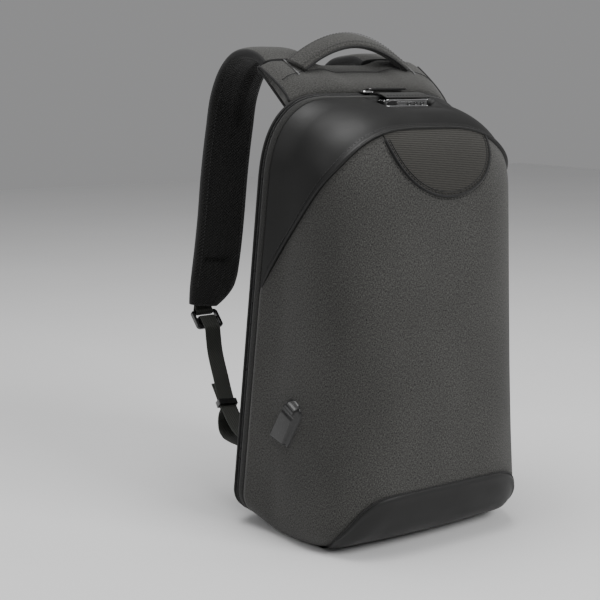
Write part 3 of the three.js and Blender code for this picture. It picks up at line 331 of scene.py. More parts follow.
def mesh_object(name, vertices, faces, materials, uv=None, face_materials=None, shaded=True, body=BODY):
    mesh = bpy.data.meshes.new(name)
    mesh.from_pydata(np.asarray(vertices).tolist(), [], [tuple(f) for f in faces])
    for material in materials if isinstance(materials, (list, tuple)) else [materials]:
        mesh.materials.append(material)
    if face_materials is not None:
        mesh.polygons.foreach_set("material_index", np.asarray(face_materials, np.int32))
    if uv is not None:
        layer = mesh.uv_layers.new(name="cloth")
        loops = np.empty(len(mesh.loops), np.int32)
        mesh.loops.foreach_get("vertex_index", loops)
        layer.data.foreach_set("uv", np.asarray(uv, np.float32)[loops].ravel())
    mesh.polygons.foreach_set("use_smooth", np.full(len(mesh.polygons), shaded))
    mesh.update()
    obj = bpy.data.objects.new(name, mesh)
    bpy.context.scene.collection.objects.link(obj)
    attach(obj, body)
    return obj


def grid_faces(rows, columns, wrap, wrap_rows=False):
    ids = np.arange(rows * columns).reshape(rows, columns)
    below = np.roll(ids, -1, axis=0) if wrap_rows else ids[1:]
    ids = ids if wrap_rows else ids[:-1]
    if wrap:
        a, b, c, d = ids, np.roll(ids, -1, axis=1), np.roll(below, -1, axis=1), below
    else:
        a, b, c, d = ids[:, :-1], ids[:, 1:], below[:, 1:], below[:, :-1]
    return np.stack([a, b, c, d], axis=-1).reshape(-1, 4)


def grid_object(name, points, materials, wrap=False, uv=None, face_materials=None, flip=False):
    rows, columns = points.shape[:2]
    faces = grid_faces(rows, columns, wrap)
    if flip:
        faces = faces[:, ::-1]
    uv = grid_uv(points) if uv is None else uv
    return mesh_object(name, points.reshape(-1, 3), faces, materials, uv.reshape(-1, 2), face_materials)


def frames_along(path, hint, wrap=False):
    """Direction, width direction and thickness direction at each point of a path."""
    if wrap:
        along = np.roll(path, -1, axis=0) - np.roll(path, 1, axis=0)
    else:
        along = np.gradient(path, axis=0)
    along = unit(along)
    hint = np.broadcast_to(np.asarray(hint, float), along.shape)
    across = unit(hint - along * np.sum(hint * along, axis=1, keepdims=True))
    return along, across, np.cross(along, across)


def swept(name, path, hint, section, materials, section_materials=None, wrap=False, capped=True):
    """A section of (across, through) points carried along a path; one section, or one for each point."""
    _, across, through = frames_along(path, hint, wrap)
    section = np.asarray(section, float)
    if section.ndim == 2:
        section = np.broadcast_to(section, (len(path),) + section.shape)
    points = path[:, None, :] + across[:, None, :] * section[..., :1]
    points = points + through[:, None, :] * section[..., 1:2]
    rows, columns = points.shape[:2]
    faces = [tuple(f) for f in grid_faces(rows, columns, True, wrap)]
    chosen = None
    if section_materials is not None:
        chosen = list(np.tile(section_materials, rows if wrap else rows - 1))
    if capped and not wrap:
        faces.append(tuple(range(columns))[::-1])
        faces.append(tuple(range((rows - 1) * columns, rows * columns)))
        if chosen is not None:
            chosen += [section_materials[0]] * 2
    uv = grid_uv(points)
    return mesh_object(name, points.reshape(-1, 3), faces, materials, uv.reshape(-1, 2), chosen)


def rounded_section(width, thickness, power, sides):
    turn = 2 * np.pi * (np.arange(sides) + 0.5) / sides
    c = np.cos(turn)
    s = np.sin(turn)
    u = np.sign(c) * np.abs(c) ** (2 / power) * width / 2
    v = np.sign(s) * np.abs(s) ** (2 / power) * thickness / 2
    return np.stack([u, v], axis=-1)


def tube(name, path, radius, material, sides=10, wrap=False):
    section = rounded_section(2 * radius, 2 * radius, 2, sides)
    return swept(name, path, (0.3, 0.2, 0.93), section, material, wrap=wrap)


def stitches(name, path, normals, material, length=0.0026, gap=0.0014, width=0.0007, lift=0.0003):
    """Threads sewn along a path: each a small body that dips at both ends."""
    pitch = length + gap
    steps = np.linalg.norm(np.diff(path, axis=0), axis=1)
    reach = np.concatenate([[0], np.cumsum(steps)])
    places = np.arange(pitch / 2, reach[-1] - pitch / 4, pitch)

    def at(values, distances):
        return np.stack([np.interp(distances, reach, values[:, i]) for i in range(3)], axis=1)

    normal = unit(at(normals, places))
    rings = []
    for share, dip, size in ((-0.5, -0.9, 0.35), (-0.25, 0, 1), (0.25, 0, 1), (0.5, -0.9, 0.35)):
        centre = at(path, places + share * length) + normal * (lift + dip * width)
        rings.append((centre, size))
    along = unit(at(path, places + length / 2) - at(path, places - length / 2))
    side = np.cross(normal, along)
    corners = [(1, 0), (0, 1), (-1, 0), (0, -1)]
    vertices = np.stack([
        centre + (side * a + normal * b) * width / 2 * size
        for centre, size in rings for a, b in corners
    ], axis=1)
    block = grid_faces(4, 4, True)
    block = np.vstack([block, [[3, 2, 1, 0], [12, 13, 14, 15]]])
    faces = (block[None] + 16 * np.arange(len(places))[:, None, None]).reshape(-1, 4)
    return mesh_object(name, vertices.reshape(-1, 3), faces, material)


# The whole surface once more, as a target to lay the patch, seams and stitches on

TARGET_ROWS = 90
target_shares = np.linspace(0, 1, TARGET_ROWS)[:, None]
target_points = shell(mix(np.pi / 2, angle_in_front(ZIP_FROM)[None, :], target_shares))
target = BVHTree.FromPolygons(
    [Vector(p) for p in target_points.reshape(-1, 3)],
    [tuple(int(i) for i in f) for f in grid_faces(TARGET_ROWS, COLUMNS, True)],
)


def laid(origin, direction):
    """Where a ray meets the body, and the way out from there."""
    point, normal, _, _ = target.ray_cast(Vector(origin), Vector(direction).normalized())
    if point is None:
        point, normal, _, _ = target.find_nearest(Vector(origin))
    facing = Vector(point) - Vector((0, edge_y(point.z) - 0.03, mix(MIDDLE_Z, point.z, 0.7)))
    if normal.dot(facing) < 0:
        normal = -normal
    return np.array(point), np.array(normal)


def laid_from_front(x, z):
    return laid((x, -0.3, z), (0, 1, 0))


def lock_dent(points):
    """How far the coated panel is pressed down in front of the lock."""
    x, y, z = points[..., 0], points[..., 1], points[..., 2]
    on_left = (LOCK_X - LOCK_HALF - x) / LOCK_DIP_FADE_LEFT
    on_right = (x - LOCK_X - LOCK_HALF - 0.001) / LOCK_DIP_FADE_RIGHT
    in_front = LOCK_FRONT_Y - y
    high = smooth((z - CROWN_HEIGHT) / (BODY_HEIGHT - CROWN_HEIGHT) * 3)
    before_band = 1 - smooth((-in_front - 0.0108) / 0.0035)
    under = smooth((0.0015 - in_front) / 0.0015) * before_band
    depth = LOCK_DIP * (1 - smooth(in_front / LOCK_DIP_LENGTH)) * high + LOCK_WELL * under
    return depth * (1 - smooth(np.maximum(on_left, on_right))) * before_band


# Materials

class Surface:
    """A material whose nodes are added one after another."""

    def __init__(self, name, colour, roughness, metallic=0.0, specular=0.5, sheen=0.0, coat=0.0):
        self.material = bpy.data.materials.new(name)
        self.material.use_nodes = True
        self.tree = self.material.node_tree
        self.shader = self.tree.nodes["Principled BSDF"]
        self.shader.inputs["Base Color"].default_value = (*colour, 1)
        self.shader.inputs["Roughness"].default_value = roughness
        self.shader.inputs["Metallic"].default_value = metallic
        self.shader.inputs["Specular IOR Level"].default_value = specular
        self.shader.inputs["Sheen Weight"].default_value = sheen
        self.shader.inputs["Sheen Roughness"].default_value = 0.5
        self.shader.inputs["Coat Weight"].default_value = coat
        self.shader.inputs["Coat Roughness"].default_value = 0.12
        self.place = self.tree.nodes.new("ShaderNodeTexCoord")

    def node(self, kind, **values):
        node = self.tree.nodes.new(kind)
        for key, value in values.items():
            setattr(node, key, value)
        return node

    def link(self, out, into):
        self.tree.links.new(out, into)

    def scaled(self, scale, turn=0.0, by="UV"):
        node = self.node("ShaderNodeMapping")
        node.inputs["Scale"].default_value = scale
        node.inputs["Rotation"].default_value = (0, 0, turn)
        self.link(self.place.outputs[by], node.inputs["Vector"])
        return node.outputs["Vector"]

    def noise(self, scale, detail=2.0, by="UV", rough=0.5, turn=0.0):
        node = self.node("ShaderNodeTexNoise")
        node.inputs["Scale"].default_value = 1
        node.inputs["Detail"].default_value = detail
        node.inputs["Roughness"].default_value = rough
        self.link(self.scaled(scale, turn, by), node.inputs["Vector"])
        return node.outputs["Fac"]

    def bands(self, scale, turn=0.0, by="UV", direction="X", distortion=0.0):
        node = self.node("ShaderNodeTexWave", wave_type="BANDS", bands_direction=direction)
        node.inputs["Scale"].default_value = 1
        node.inputs["Distortion"].default_value = distortion
        self.link(self.scaled(scale, turn, by), node.inputs["Vector"])
        return node.outputs["Fac"]

    def cells(self, scale, turn=0.0, by="UV", randomness=0.3):
        node = self.node("ShaderNodeTexVoronoi")
        node.inputs["Scale"].default_value = 1
        node.inputs["Randomness"].default_value = randomness
        self.link(self.scaled(scale, turn, by), node.inputs["Vector"])
        return node.outputs["Distance"]

    def math(self, operation, first, second):
        node = self.node("ShaderNodeMath", operation=operation)
        for socket, value in zip(node.inputs, (first, second)):
            if isinstance(value, (int, float)):
                socket.default_value = value
            else:
                self.link(value, socket)
        return node.outputs["Value"]

    def ranged(self, value, from_low, from_high, to_low=0.0, to_high=1.0):
        node = self.node("ShaderNodeMapRange")
        self.link(value, node.inputs["Value"])
        limits = {"From Min": from_low, "From Max": from_high, "To Min": to_low, "To Max": to_high}
        for name, limit in limits.items():
            node.inputs[name].default_value = limit
        return node.outputs["Result"]

    def colour(self, factor, low, high):
        node = self.node("ShaderNodeMix", data_type="RGBA")
        self.link(factor, node.inputs["Factor"])
        node.inputs["A"].default_value = (*low, 1)
        node.inputs["B"].default_value = (*high, 1)
        return node.outputs["Result"]

    def tinted(self, colour, factor):
        node = self.node("ShaderNodeMix", data_type="RGBA", blend_type="MULTIPLY")
        node.inputs["Factor"].default_value = 1
        self.link(colour, node.inputs["A"])
        self.link(factor, node.inputs["B"])
        return node.outputs["Result"]

    def bumped(self, height, strength, distance):
        node = self.node("ShaderNodeBump")
        node.inputs["Strength"].default_value = strength
        node.inputs["Distance"].default_value = distance
        self.link(height, node.inputs["Height"])
        self.link(node.outputs["Normal"], self.shader.inputs["Normal"])

    def rough(self, value):
        self.link(value, self.shader.inputs["Roughness"])

    def base(self, value):
        self.link(value, self.shader.inputs["Base Color"])


def melange_cloth(name, dark, light, contrast=(0.36, 0.64)):
    """Grey cloth of mixed threads: short streaks both ways over a plain weave."""
    cloth = Surface(name, light, 0.92, specular=0.18, sheen=0.12)
    warp = cloth.noise((1300, 420, 1), 1)
    weft = cloth.noise((420, 1300, 1), 1)
    threads = cloth.math("MULTIPLY", cloth.math("ADD", warp, weft), 0.5)
    speck = cloth.noise((760, 760, 1), 2)
    mixed = cloth.math("ADD", cloth.math("MULTIPLY", threads, 0.6), cloth.math("MULTIPLY", speck, 0.4))
    factor = cloth.ranged(mixed, *contrast)
    wide = cloth.ranged(cloth.noise((13, 9, 1), 3), 0.3, 0.7, 0.88, 1.1)
    cloth.base(cloth.tinted(cloth.colour(factor, dark, light), wide))
    weave = cloth.math("MULTIPLY", cloth.bands((300, 1, 1)), cloth.bands((1, 300, 1), direction="Y"))
    height = cloth.math("ADD", cloth.math("MULTIPLY", weave, 0.4), mixed)
    cloth.bumped(height, 0.5, 0.0006)
    return cloth.material


def coated_cloth(name):
    """Smooth coated cloth with a faint pebble grain and uneven gloss."""
    coat = Surface(name, (0.006, 0.006, 0.0058), 0.46, specular=0.34)
    grain = coat.cells((900, 900, 900), by="Object", randomness=1)
    wide = coat.noise((26, 26, 26), 3, by="Object")
    coat.rough(coat.ranged(wide, 0.3, 0.7, 0.42, 0.54))
    coat.base(coat.colour(wide, (0.005, 0.005, 0.0048), (0.0085, 0.0085, 0.008)))
    creases = coat.noise((60, 60, 60), 4, by="Object")
    height = coat.math("ADD", coat.math("MULTIPLY", grain, 0.35), creases)
    coat.bumped(height, 0.16, 0.0006)
    return coat.material


def ribbed_cloth(name):
    """Cloth with fine cross ribs."""
    cloth = Surface(name, (0.035, 0.034, 0.031), 0.85, specular=0.2, sheen=0.08)
    ribs = cloth.bands((1, 190, 1), direction="Y", distortion=0.3)
    threads = cloth.noise((260, 800, 1), 2)
    both = cloth.math("ADD", cloth.math("MULTIPLY", ribs, 0.6), cloth.math("MULTIPLY", threads, 0.5))
    cloth.base(cloth.colour(cloth.ranged(both, 0.2, 0.9), (0.016, 0.0155, 0.014), (0.050, 0.048, 0.043)))
    cloth.bumped(both, 0.6, 0.0008)
    return cloth.material


def tape(name, shade=0.012, across=(900, 500, 1)):
    """Narrow woven tape."""
    cloth = Surface(name, (shade, shade, shade), 0.8, specular=0.3, sheen=0.1)
    threads = cloth.noise(across, 2)
    low = (shade * 0.6,) * 3
    high = (shade * 1.7,) * 3
    cloth.base(cloth.colour(cloth.ranged(threads, 0.3, 0.7), low, high))
    cloth.bumped(threads, 0.5, 0.0004)
    return cloth.material


def air_mesh(name):
    """Knitted spacer mesh: slanted rows of small holes."""
    cloth = Surface(name, (0.012, 0.012, 0.012), 0.85, specular=0.25, sheen=0.12)
    holes = cloth.cells((420, 420, 1), turn=0.7, randomness=0.15)
    rows = cloth.bands((105, 105, 1), turn=0.9)
    both = cloth.math("ADD", cloth.math("MULTIPLY", holes, 1.1), cloth.math("MULTIPLY", rows, 0.35))
    factor = cloth.ranged(both, 0.15, 0.8)
    cloth.base(cloth.colour(factor, (0.002, 0.002, 0.002), (0.022, 0.022, 0.021)))
    cloth.bumped(both, 0.8, 0.001)
    return cloth.material


def webbing_cloth(name):
    """Twill webbing with slanted lines."""
    cloth = Surface(name, (0.025, 0.027, 0.022), 0.75, specular=0.3, sheen=0.15)
    twill = cloth.bands((170, 170, 1), turn=0.7)
    threads = cloth.noise((900, 400, 1), 2)
    both = cloth.math("ADD", cloth.math("MULTIPLY", twill, 0.6), cloth.math("MULTIPLY", threads, 0.45))
    factor = cloth.ranged(both, 0.2, 0.9)
    cloth.base(cloth.colour(factor, (0.008, 0.0085, 0.007), (0.036, 0.038, 0.031)))
    cloth.bumped(both, 0.6, 0.0007)
    return cloth.material


def hard_black(name, roughness=0.16):
    plastic = Surface(name, (0.006, 0.006, 0.006), roughness, specular=0.5, coat=0.5)
    wear = plastic.noise((90, 90, 90), 3, by="Object")
    plastic.rough(plastic.ranged(wear, 0.3, 0.7, roughness * 0.8, roughness * 1.7))
    plastic.base(plastic.colour(wear, (0.004, 0.004, 0.004), (0.009, 0.009, 0.009)))
    plastic.bumped(wear, 0.05, 0.0003)
    return plastic.material


def dark_metal(name, shade=0.2, roughness=0.2):
    metal = Surface(name, (shade, shade, shade), roughness, metallic=1.0)
    brushed = metal.noise((40, 900, 900), 2, by="Object")
    metal.rough(metal.ranged(brushed, 0.3, 0.7, roughness * 0.75, roughness * 1.5))
    metal.base(metal.colour(brushed, (shade * 0.8,) * 3, (shade * 1.2,) * 3))
    metal.bumped(brushed, 0.04, 0.0002)
    return metal.material


def soft_rubber(name):
    rubber = Surface(name, (0.006, 0.006, 0.006), 0.3, specular=0.55, coat=0.1)
    grain = rubber.noise((500, 500, 500), 3, by="Object")
    rubber.rough(rubber.ranged(grain, 0.3, 0.7, 0.25, 0.38))
    rubber.base(rubber.colour(grain, (0.004, 0.004, 0.004), (0.009, 0.009, 0.0088)))
    rubber.bumped(grain, 0.12, 0.0003)
    return rubber.material


def floor_material():
    floor = Surface("studio_floor", (0.8, 0.8, 0.8), 0.75, specular=0.2)
    wide = floor.noise((3, 3, 3), 2, by="Object")
    floor.base(floor.colour(wide, (0.78, 0.78, 0.78), (0.82, 0.82, 0.82)))
    return floor.material


GREY = melange_cloth("grey_cloth", (0.009, 0.009, 0.0086), (0.088, 0.087, 0.082))
GREY_BAND = melange_cloth("grey_cloth_band", (0.006, 0.006, 0.006), (0.040, 0.040, 0.038))
GREY_TOP = melange_cloth("grey_cloth_top", (0.011, 0.011, 0.0105), (0.090, 0.089, 0.084))
DARK = melange_cloth("dark_cloth", (0.004, 0.004, 0.004), (0.020, 0.020, 0.0195))
COATED = coated_cloth("coated_cloth")
RIBBED = ribbed_cloth("ribbed_cloth")
TAPE = tape("zip_tape")
BINDING = tape("binding_tape", 0.009)
MESH = air_mesh("air_mesh")
WEBBING = webbing_cloth("webbing")
GLOSS = hard_black("gloss_black")
METAL = dark_metal("lock_metal")
BRIGHT = dark_metal("bright_metal", 0.62, 0.12)
RUBBER = soft_rubber("soft_rubber")
THREAD = tape("thread", 0.035)
PALE_THREAD = tape("pale_thread", 0.09)
COIL = hard_black("coil_nylon", 0.3)
PAINT = tape("numeral_paint", 0.5)


# Body pieces

def shell_uv(points):
    """Cloth coordinates on the body: round the side, and up."""
    x, y, z = points[..., 0], points[..., 1], points[..., 2]
    back = y - (edge_y(z) - depth_at(z))
    return np.stack([np.sign(x) * (np.abs(x) + np.maximum(0, back)), z], axis=-1)


def cloth_slack(points):
    """Shallow waves that keep the big cloth panel from looking moulded."""
    x, z = points[..., 0], points[..., 2]
    lift = 0.0006 * np.sin(31 * x + 9 * z + 1.3) * np.sin(23 * z + 0.6)
    return lift + 0.0004 * np.sin(70 * x - 26 * z) * smooth(z / 0.1)


def make_front():
    has_seam = ~np.isnan(SEAM_ANGLE)
    edge = np.where(has_seam, np.nan_to_num(SEAM_ANGLE) - 0.002 / surface_rate(EDGE_ANGLE), EDGE_ANGLE)
    edge = np.maximum(edge, EDGE_ANGLE)
    shares = np.linspace(0, 1, 76) ** 0.85
    angles = mix(np.pi / 2, edge[None, :], shares[:, None])
    points = shell(angles)
    normal = outward(points, True)
    calm = 1 - shares[:, None] ** 12
    points = points + normal * (cloth_slack(points) * calm)[..., None]
    tucked = points[-1:] - normal[-1:] * 0.0022
    uv = shell_uv(np.concatenate([points, tucked]))
    front = grid_object("front_cloth", np.concatenate([points, tucked]), GREY, wrap=True, uv=uv, flip=True)
    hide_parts("front_panel")


def outward(points, wrap):
    normal = grid_normals(points, wrap)
    middle = np.stack([
        np.zeros(points.shape[:2]),
        edge_y(points[..., 2]) - 0.03,
        mix(MIDDLE_Z, points[..., 2], 0.6),
    ], axis=-1)
    turned = np.sum(normal * (points - middle), axis=-1, keepdims=True) < 0
    return np.where(turned, -normal, normal)


def seam_columns():
    """The columns that the coated upper panel covers, from its left end to its right one."""
    return np.nonzero(~np.isnan(SEAM_ANGLE))[0]


def make_upper():
    columns = seam_columns()
    seam = SEAM_ANGLE[columns]
    edge = angle_in_front(PANEL_FROM, columns)
    roll = np.maximum(-0.008 / surface_rate(seam, columns), 0.6 * (edge - seam))
    profile = [
        (-0.02, -0.7), (0, 0.15), (0.05, 0.62), (0.13, 0.9), (0.24, 1),
        (0.38, 0.93), (0.55, 0.7), (0.75, 0.35), (1, 0.08),
    ]
    rows = [seam + place * roll for place, _ in profile]
    lifts = [lift for _, lift in profile]
    for share in np.linspace(0, 1, 72)[1:]:
        rows.append(mix(seam + roll, edge, share))
        lifts.append(0.08 * (1 - share))
    points = shell(np.array(rows), columns)
    normal = outward(points, False)
    width = np.linalg.norm(shell(seam, columns) - shell(edge, columns), axis=-1)
    height = 0.0034 * np.minimum(1, width / 0.016)
    points = points + normal * (np.array(lifts)[:, None] * height)[..., None]
    points[..., 2] -= lock_dent(points)
    tucked = points[-1:] - normal[-1:] * 0.003
    panel = grid_object("upper_coated_panel", np.concatenate([points, tucked]), COATED, flip=True)
    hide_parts("upper_panel")
    return points, normal


def make_lower():
    """The coated panel round the foot of the bag, with a rolled top edge."""
    xs = LOWER_PANEL_HALF * np.sin(np.linspace(-np.pi / 2, np.pi / 2, 90))
    rows = []
    for x in xs:
        pivot = np.array([x, -0.02, 0.028])
        seam, _ = laid_from_front(x, lower_seam_z(x))
        start = math.atan2(seam[2] - pivot[2], pivot[1] - seam[1])
        column = []
        for share in np.linspace(0, 1, 44) ** 1.25:
            turn = mix(start, -math.radians(148), share)
            column.append(laid(pivot, (0, -math.cos(turn), math.sin(turn))))
        rows.append(column)
    points = np.array([[p for p, _ in column] for column in rows]).transpose(1, 0, 2)
    normal = np.array([[n for _, n in column] for column in rows]).transpose(1, 0, 2)
    steps = np.linalg.norm(np.diff(points, axis=0), axis=-1)
    down = np.concatenate([[0 * points[0, :, 0]], np.cumsum(steps, axis=0)])
    side = LOWER_PANEL_HALF - np.abs(points[..., 0])
    from_edge = np.minimum(down, side + 0.004)
    lift = 0.0012 * smooth(from_edge / 0.0015) + 0.0016 * bump(from_edge, 0.0035, 0.003)
    lift = lift * smooth((points[..., 2] - 0.0015) / 0.006)
    panel = grid_object("lower_coated_panel", points + normal * lift[..., None], COATED, flip=False)
    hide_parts("lower_panel")
    seam_path = points[0] + normal[0] * 0.0012
    tube("lower_panel_piping", seam_path, 0.0009, BINDING)


def make_patch():
    """The bare half-round patch, its upper side under the coated panel."""
    xs = PATCH_X + PATCH_HALF_WIDTH * np.sin(np.linspace(-np.pi / 2, np.pi / 2, 72))[1:-1]
    foot = PATCH_TOP - PATCH_HEIGHT * np.sqrt(1 - ((xs - PATCH_X) / PATCH_HALF_WIDTH) ** 2)
    top = np.array([patch_top(x) for x in xs])
    shares = np.linspace(0, 1, 40)
    points, normal = [], []
    for share in shares:
        row = [laid_from_front(x, z) for x, z in zip(xs, mix(top, np.minimum(foot, top - 0.001), share))]
        points.append([p for p, _ in row])
        normal.append([n for _, n in row])
    points, normal = np.array(points), np.array(normal)
    uv = np.stack([points[..., 0], points[..., 2]], axis=-1)
    patch = grid_object("patch_cloth", points + normal * 0.0009, RIBBED, uv=uv)
    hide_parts("logo_patch")
    turn = np.linspace(0.06, np.pi - 0.06, 120)
    for name, inwards, radius in (("patch_edge", 0, 0.0012), ("patch_inner_edge", 0.0042, 0.0005)):
        wide = PATCH_HALF_WIDTH - inwards
        high = PATCH_HEIGHT - inwards
        spots = [laid_from_front(PATCH_X + wide * np.cos(t), PATCH_TOP - high * np.sin(t)) for t in turn]
        path = np.array([p + n * 0.001 for p, n in spots])
        tube(name, path, radius, BINDING)
    for name, inwards in (("patch_stitches", 0.0022), ("patch_outer_stitches", -0.003)):
        wide = PATCH_HALF_WIDTH - inwards
        high = PATCH_HEIGHT - inwards
        spots = [laid_from_front(PATCH_X + wide * np.cos(t), PATCH_TOP - high * np.sin(t)) for t in turn]
        lift = 0.0011 if inwards > 0 else 0.0002
        path = np.array([p + n * lift for p, n in spots])
        stitches(name, path, np.array([n for _, n in spots]), BINDING)


def patch_top(x):
    """The height where the upper seam crosses the front at x."""
    z = CROWN_HEIGHT
    for _ in range(12):
        point, _ = laid_from_front(x, z)
        z = mix(z, upper_seam_z(x, point[1]), 0.6)
    return z + 0.002


def ring_rows(distances, lifts):
    """Rows round the back edge at distances in front of it, each lifted off the surface."""
    points = shell(angle_in_front(np.array(distances)[:, None]))
    normal = rim_normals()[None]
    return points + normal * np.array(lifts)[:, None, None]


def rim_normals():
    rim = np.stack([RIM_X, RIM_Z], axis=-1)
    along = unit(np.roll(rim, -1, axis=0) - np.roll(rim, 1, axis=0))
    return np.stack([-along[:, 1], np.zeros(COLUMNS), along[:, 0]], axis=-1)


def make_rings():
    band = ring_rows(
        [BAND_FROM, BAND_FROM + 0.0002, 0.0075, 0.0100, 0.0125, BAND_TO - 0.0002, BAND_TO],
        [-0.002, 0.0001, 0.0004, 0.0005, 0.0004, 0.0001, -0.002])
    piece = grid_object("side_band_cloth", band, GREY_BAND, wrap=True, uv=shell_uv(band))
    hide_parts("side_band")
    low = ring_rows([ZIP_FROM, 0.0022, 0.0036, 0.0050, ZIP_TO], [-0.0012, -0.0004, -0.0003, -0.0004, -0.0012])
    piece = grid_object("zip_tape_ring", low, TAPE, wrap=True)
    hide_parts("main_zip")
    make_coil()
    path = np.stack([RIM_X, edge_y(RIM_Z) + 0.0006, RIM_Z], axis=-1) - rim_normals() * 0.0006
    section = rounded_section(0.0036, 0.0038, 2.2, 10)
    piece = swept("edge_binding_tape", path, (0, 1, 0), section, BINDING, wrap=True)
    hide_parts("edge_binding")


def make_coil():
    """The zip's coil: a short thread across the tape at every tooth."""
    distances = np.array([0.0023, 0.0028, 0.0036, 0.0044, 0.0049])
    lifts = np.array([-0.0003, 0.0003, 0.0006, 0.0003, -0.0003])
    rows = ring_rows(distances, lifts)
    closed = np.concatenate([rows, rows[:, :1]], axis=1)
    steps = np.linalg.norm(np.diff(closed[2], axis=0), axis=1)
    reach = np.concatenate([[0], np.cumsum(steps)])
    places = np.arange(0, reach[-1], 0.0014)
    vertices = []
    normal = np.concatenate([rim_normals(), rim_normals()[:1]])
    up = unit(np.stack([np.interp(places, reach, normal[:, i]) for i in range(3)], axis=1))
    for row in closed:
        centre = np.stack([np.interp(places, reach, row[:, i]) for i in range(3)], axis=1)
        along = unit(np.gradient(centre, axis=0))
        for a, b in ((1, 0), (0, 1), (-1, 0), (0, -1)):
            vertices.append(centre + along * a * 0.00042 + up * b * 0.00042)
    vertices = np.stack(vertices, axis=1)
    block = grid_faces(5, 4, True)
    faces = (block[None] + 20 * np.arange(len(places))[:, None, None]).reshape(-1, 4)
    mesh_object("zip_coil", vertices.reshape(-1, 3), faces, COIL)



def rim_disc(insets, behinds, shares):
    """Rows of a disc behind the back edge, each at an inset, a distance behind and a share of the way out."""
    rows = []
    for inset, behind, share in zip(insets, behinds, shares):
        x, z = outline(inset, False)
        z = mix(mix(MIDDLE_Z, z, CORE_SHARE), z, share)
        rows.append(np.stack([x * share, edge_y(z) + behind, z], axis=-1))
    return np.array(rows)


def make_back():
    turn = np.linspace(0, np.pi / 2, 8)
    inner = BACK_INSET + BACK_ROUNDING
    round_edge = BACK_INSET + BACK_ROUNDING * (1 - np.cos(turn))
    insets = np.concatenate([[BACK_INSET], round_edge, np.full(30, inner)])
    rising = mix(0.003, BACK_THICKNESS, np.sin(turn))
    behinds = np.concatenate([[0.0003], rising, np.full(30, BACK_THICKNESS)])
    shares = np.concatenate([np.ones(9), np.linspace(1, 0.001, 31)[1:]])
    points = rim_disc(insets, behinds, shares)
    panel = grid_object("back_cloth", points, DARK, wrap=True, uv=points[..., [0, 2]])
    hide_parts("back_panel")
    make_back_pad()


def make_back_pad():
    """Foam under spacer mesh, with sewn air channels down the middle and across."""
    low = BACK_THICKNESS + GAP
    high = low + PAD_THICKNESS
    inner = PAD_INSET + PAD_ROUNDING
    turn = np.linspace(0, np.pi / 2, 12)
    round_edge = PAD_INSET + PAD_ROUNDING * (1 - np.cos(turn))
    insets = np.concatenate([[PAD_INSET], round_edge, np.full(70, inner)])
    behinds = np.concatenate([[low], mix(low + 0.002, high, np.sin(turn)), np.full(70, high)])
    shares = np.concatenate([np.ones(13), np.linspace(1, 0.001, 71)[1:]])
    points = rim_disc(insets, behinds, shares)
    x, z = points[..., 0], points[..., 2]
    channels = bump(x, 0, 0.007)
    for height in (0.13, 0.215, 0.30):
        channels = np.maximum(channels, bump(z - 0.25 * np.abs(x), height, 0.0045))
    channels = np.maximum(channels, 0.8 * bump(np.abs(x), 0.062, 0.0035))
    raised = smooth((points[..., 1] - edge_y(z) - low) / (high - low))
    points[..., 1] -= 0.0075 * channels * raised
    pad = grid_object("back_pad_mesh", points, MESH, wrap=True, uv=points[..., [0, 2]])
    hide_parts("back_pad")
    x, z = outline(PAD_INSET - 0.002, False)
    path = np.stack([x, edge_y(z) + low + 0.0012, z], axis=-1)
    swept("back_pad_piping", path, (0, 1, 0), rounded_section(0.003, 0.003, 2, 8), BINDING, wrap=True)


# Padded top, handle and straps

def rim_top(x):
    share = np.clip((np.abs(x) - (TOP_HALF_WIDTH - SHOULDER_WIDTH)) / SHOULDER_WIDTH, 0, 1)
    return BODY_HEIGHT - SHOULDER_DROP * (1 - (1 - share ** SHOULDER_POWER) ** (1 / SHOULDER_POWER))


def yoke_shift(y):
    return YOKE_SHIFT * np.minimum(1, (YOKE_REAR_Y - y) / (YOKE_REAR_Y - edge_y(BODY_HEIGHT)))


def yoke_top(x, y):
    """The top of the padding at a station x, on the line that follows its skew."""
    foot = rim_top(x + YOKE_SHIFT) + GAP
    side = np.abs(x) / YOKE_HALF
    rise = 0.006 * smooth(1.8 - 2.4 * np.abs(np.abs(x) - STRAP_ROOT_X) / STRAP_WIDTH)
    crest = BODY_HEIGHT + YOKE_CREST + rise - 0.003 * side ** 4
    start = edge_y(rim_top(x + YOKE_SHIFT)) + BINDING_BEHIND
    along = np.clip((y - start) / (YOKE_REAR_Y - start), 0, 1)
    return mix(foot, crest, along ** mix(0.42, 0.7, side ** 2))


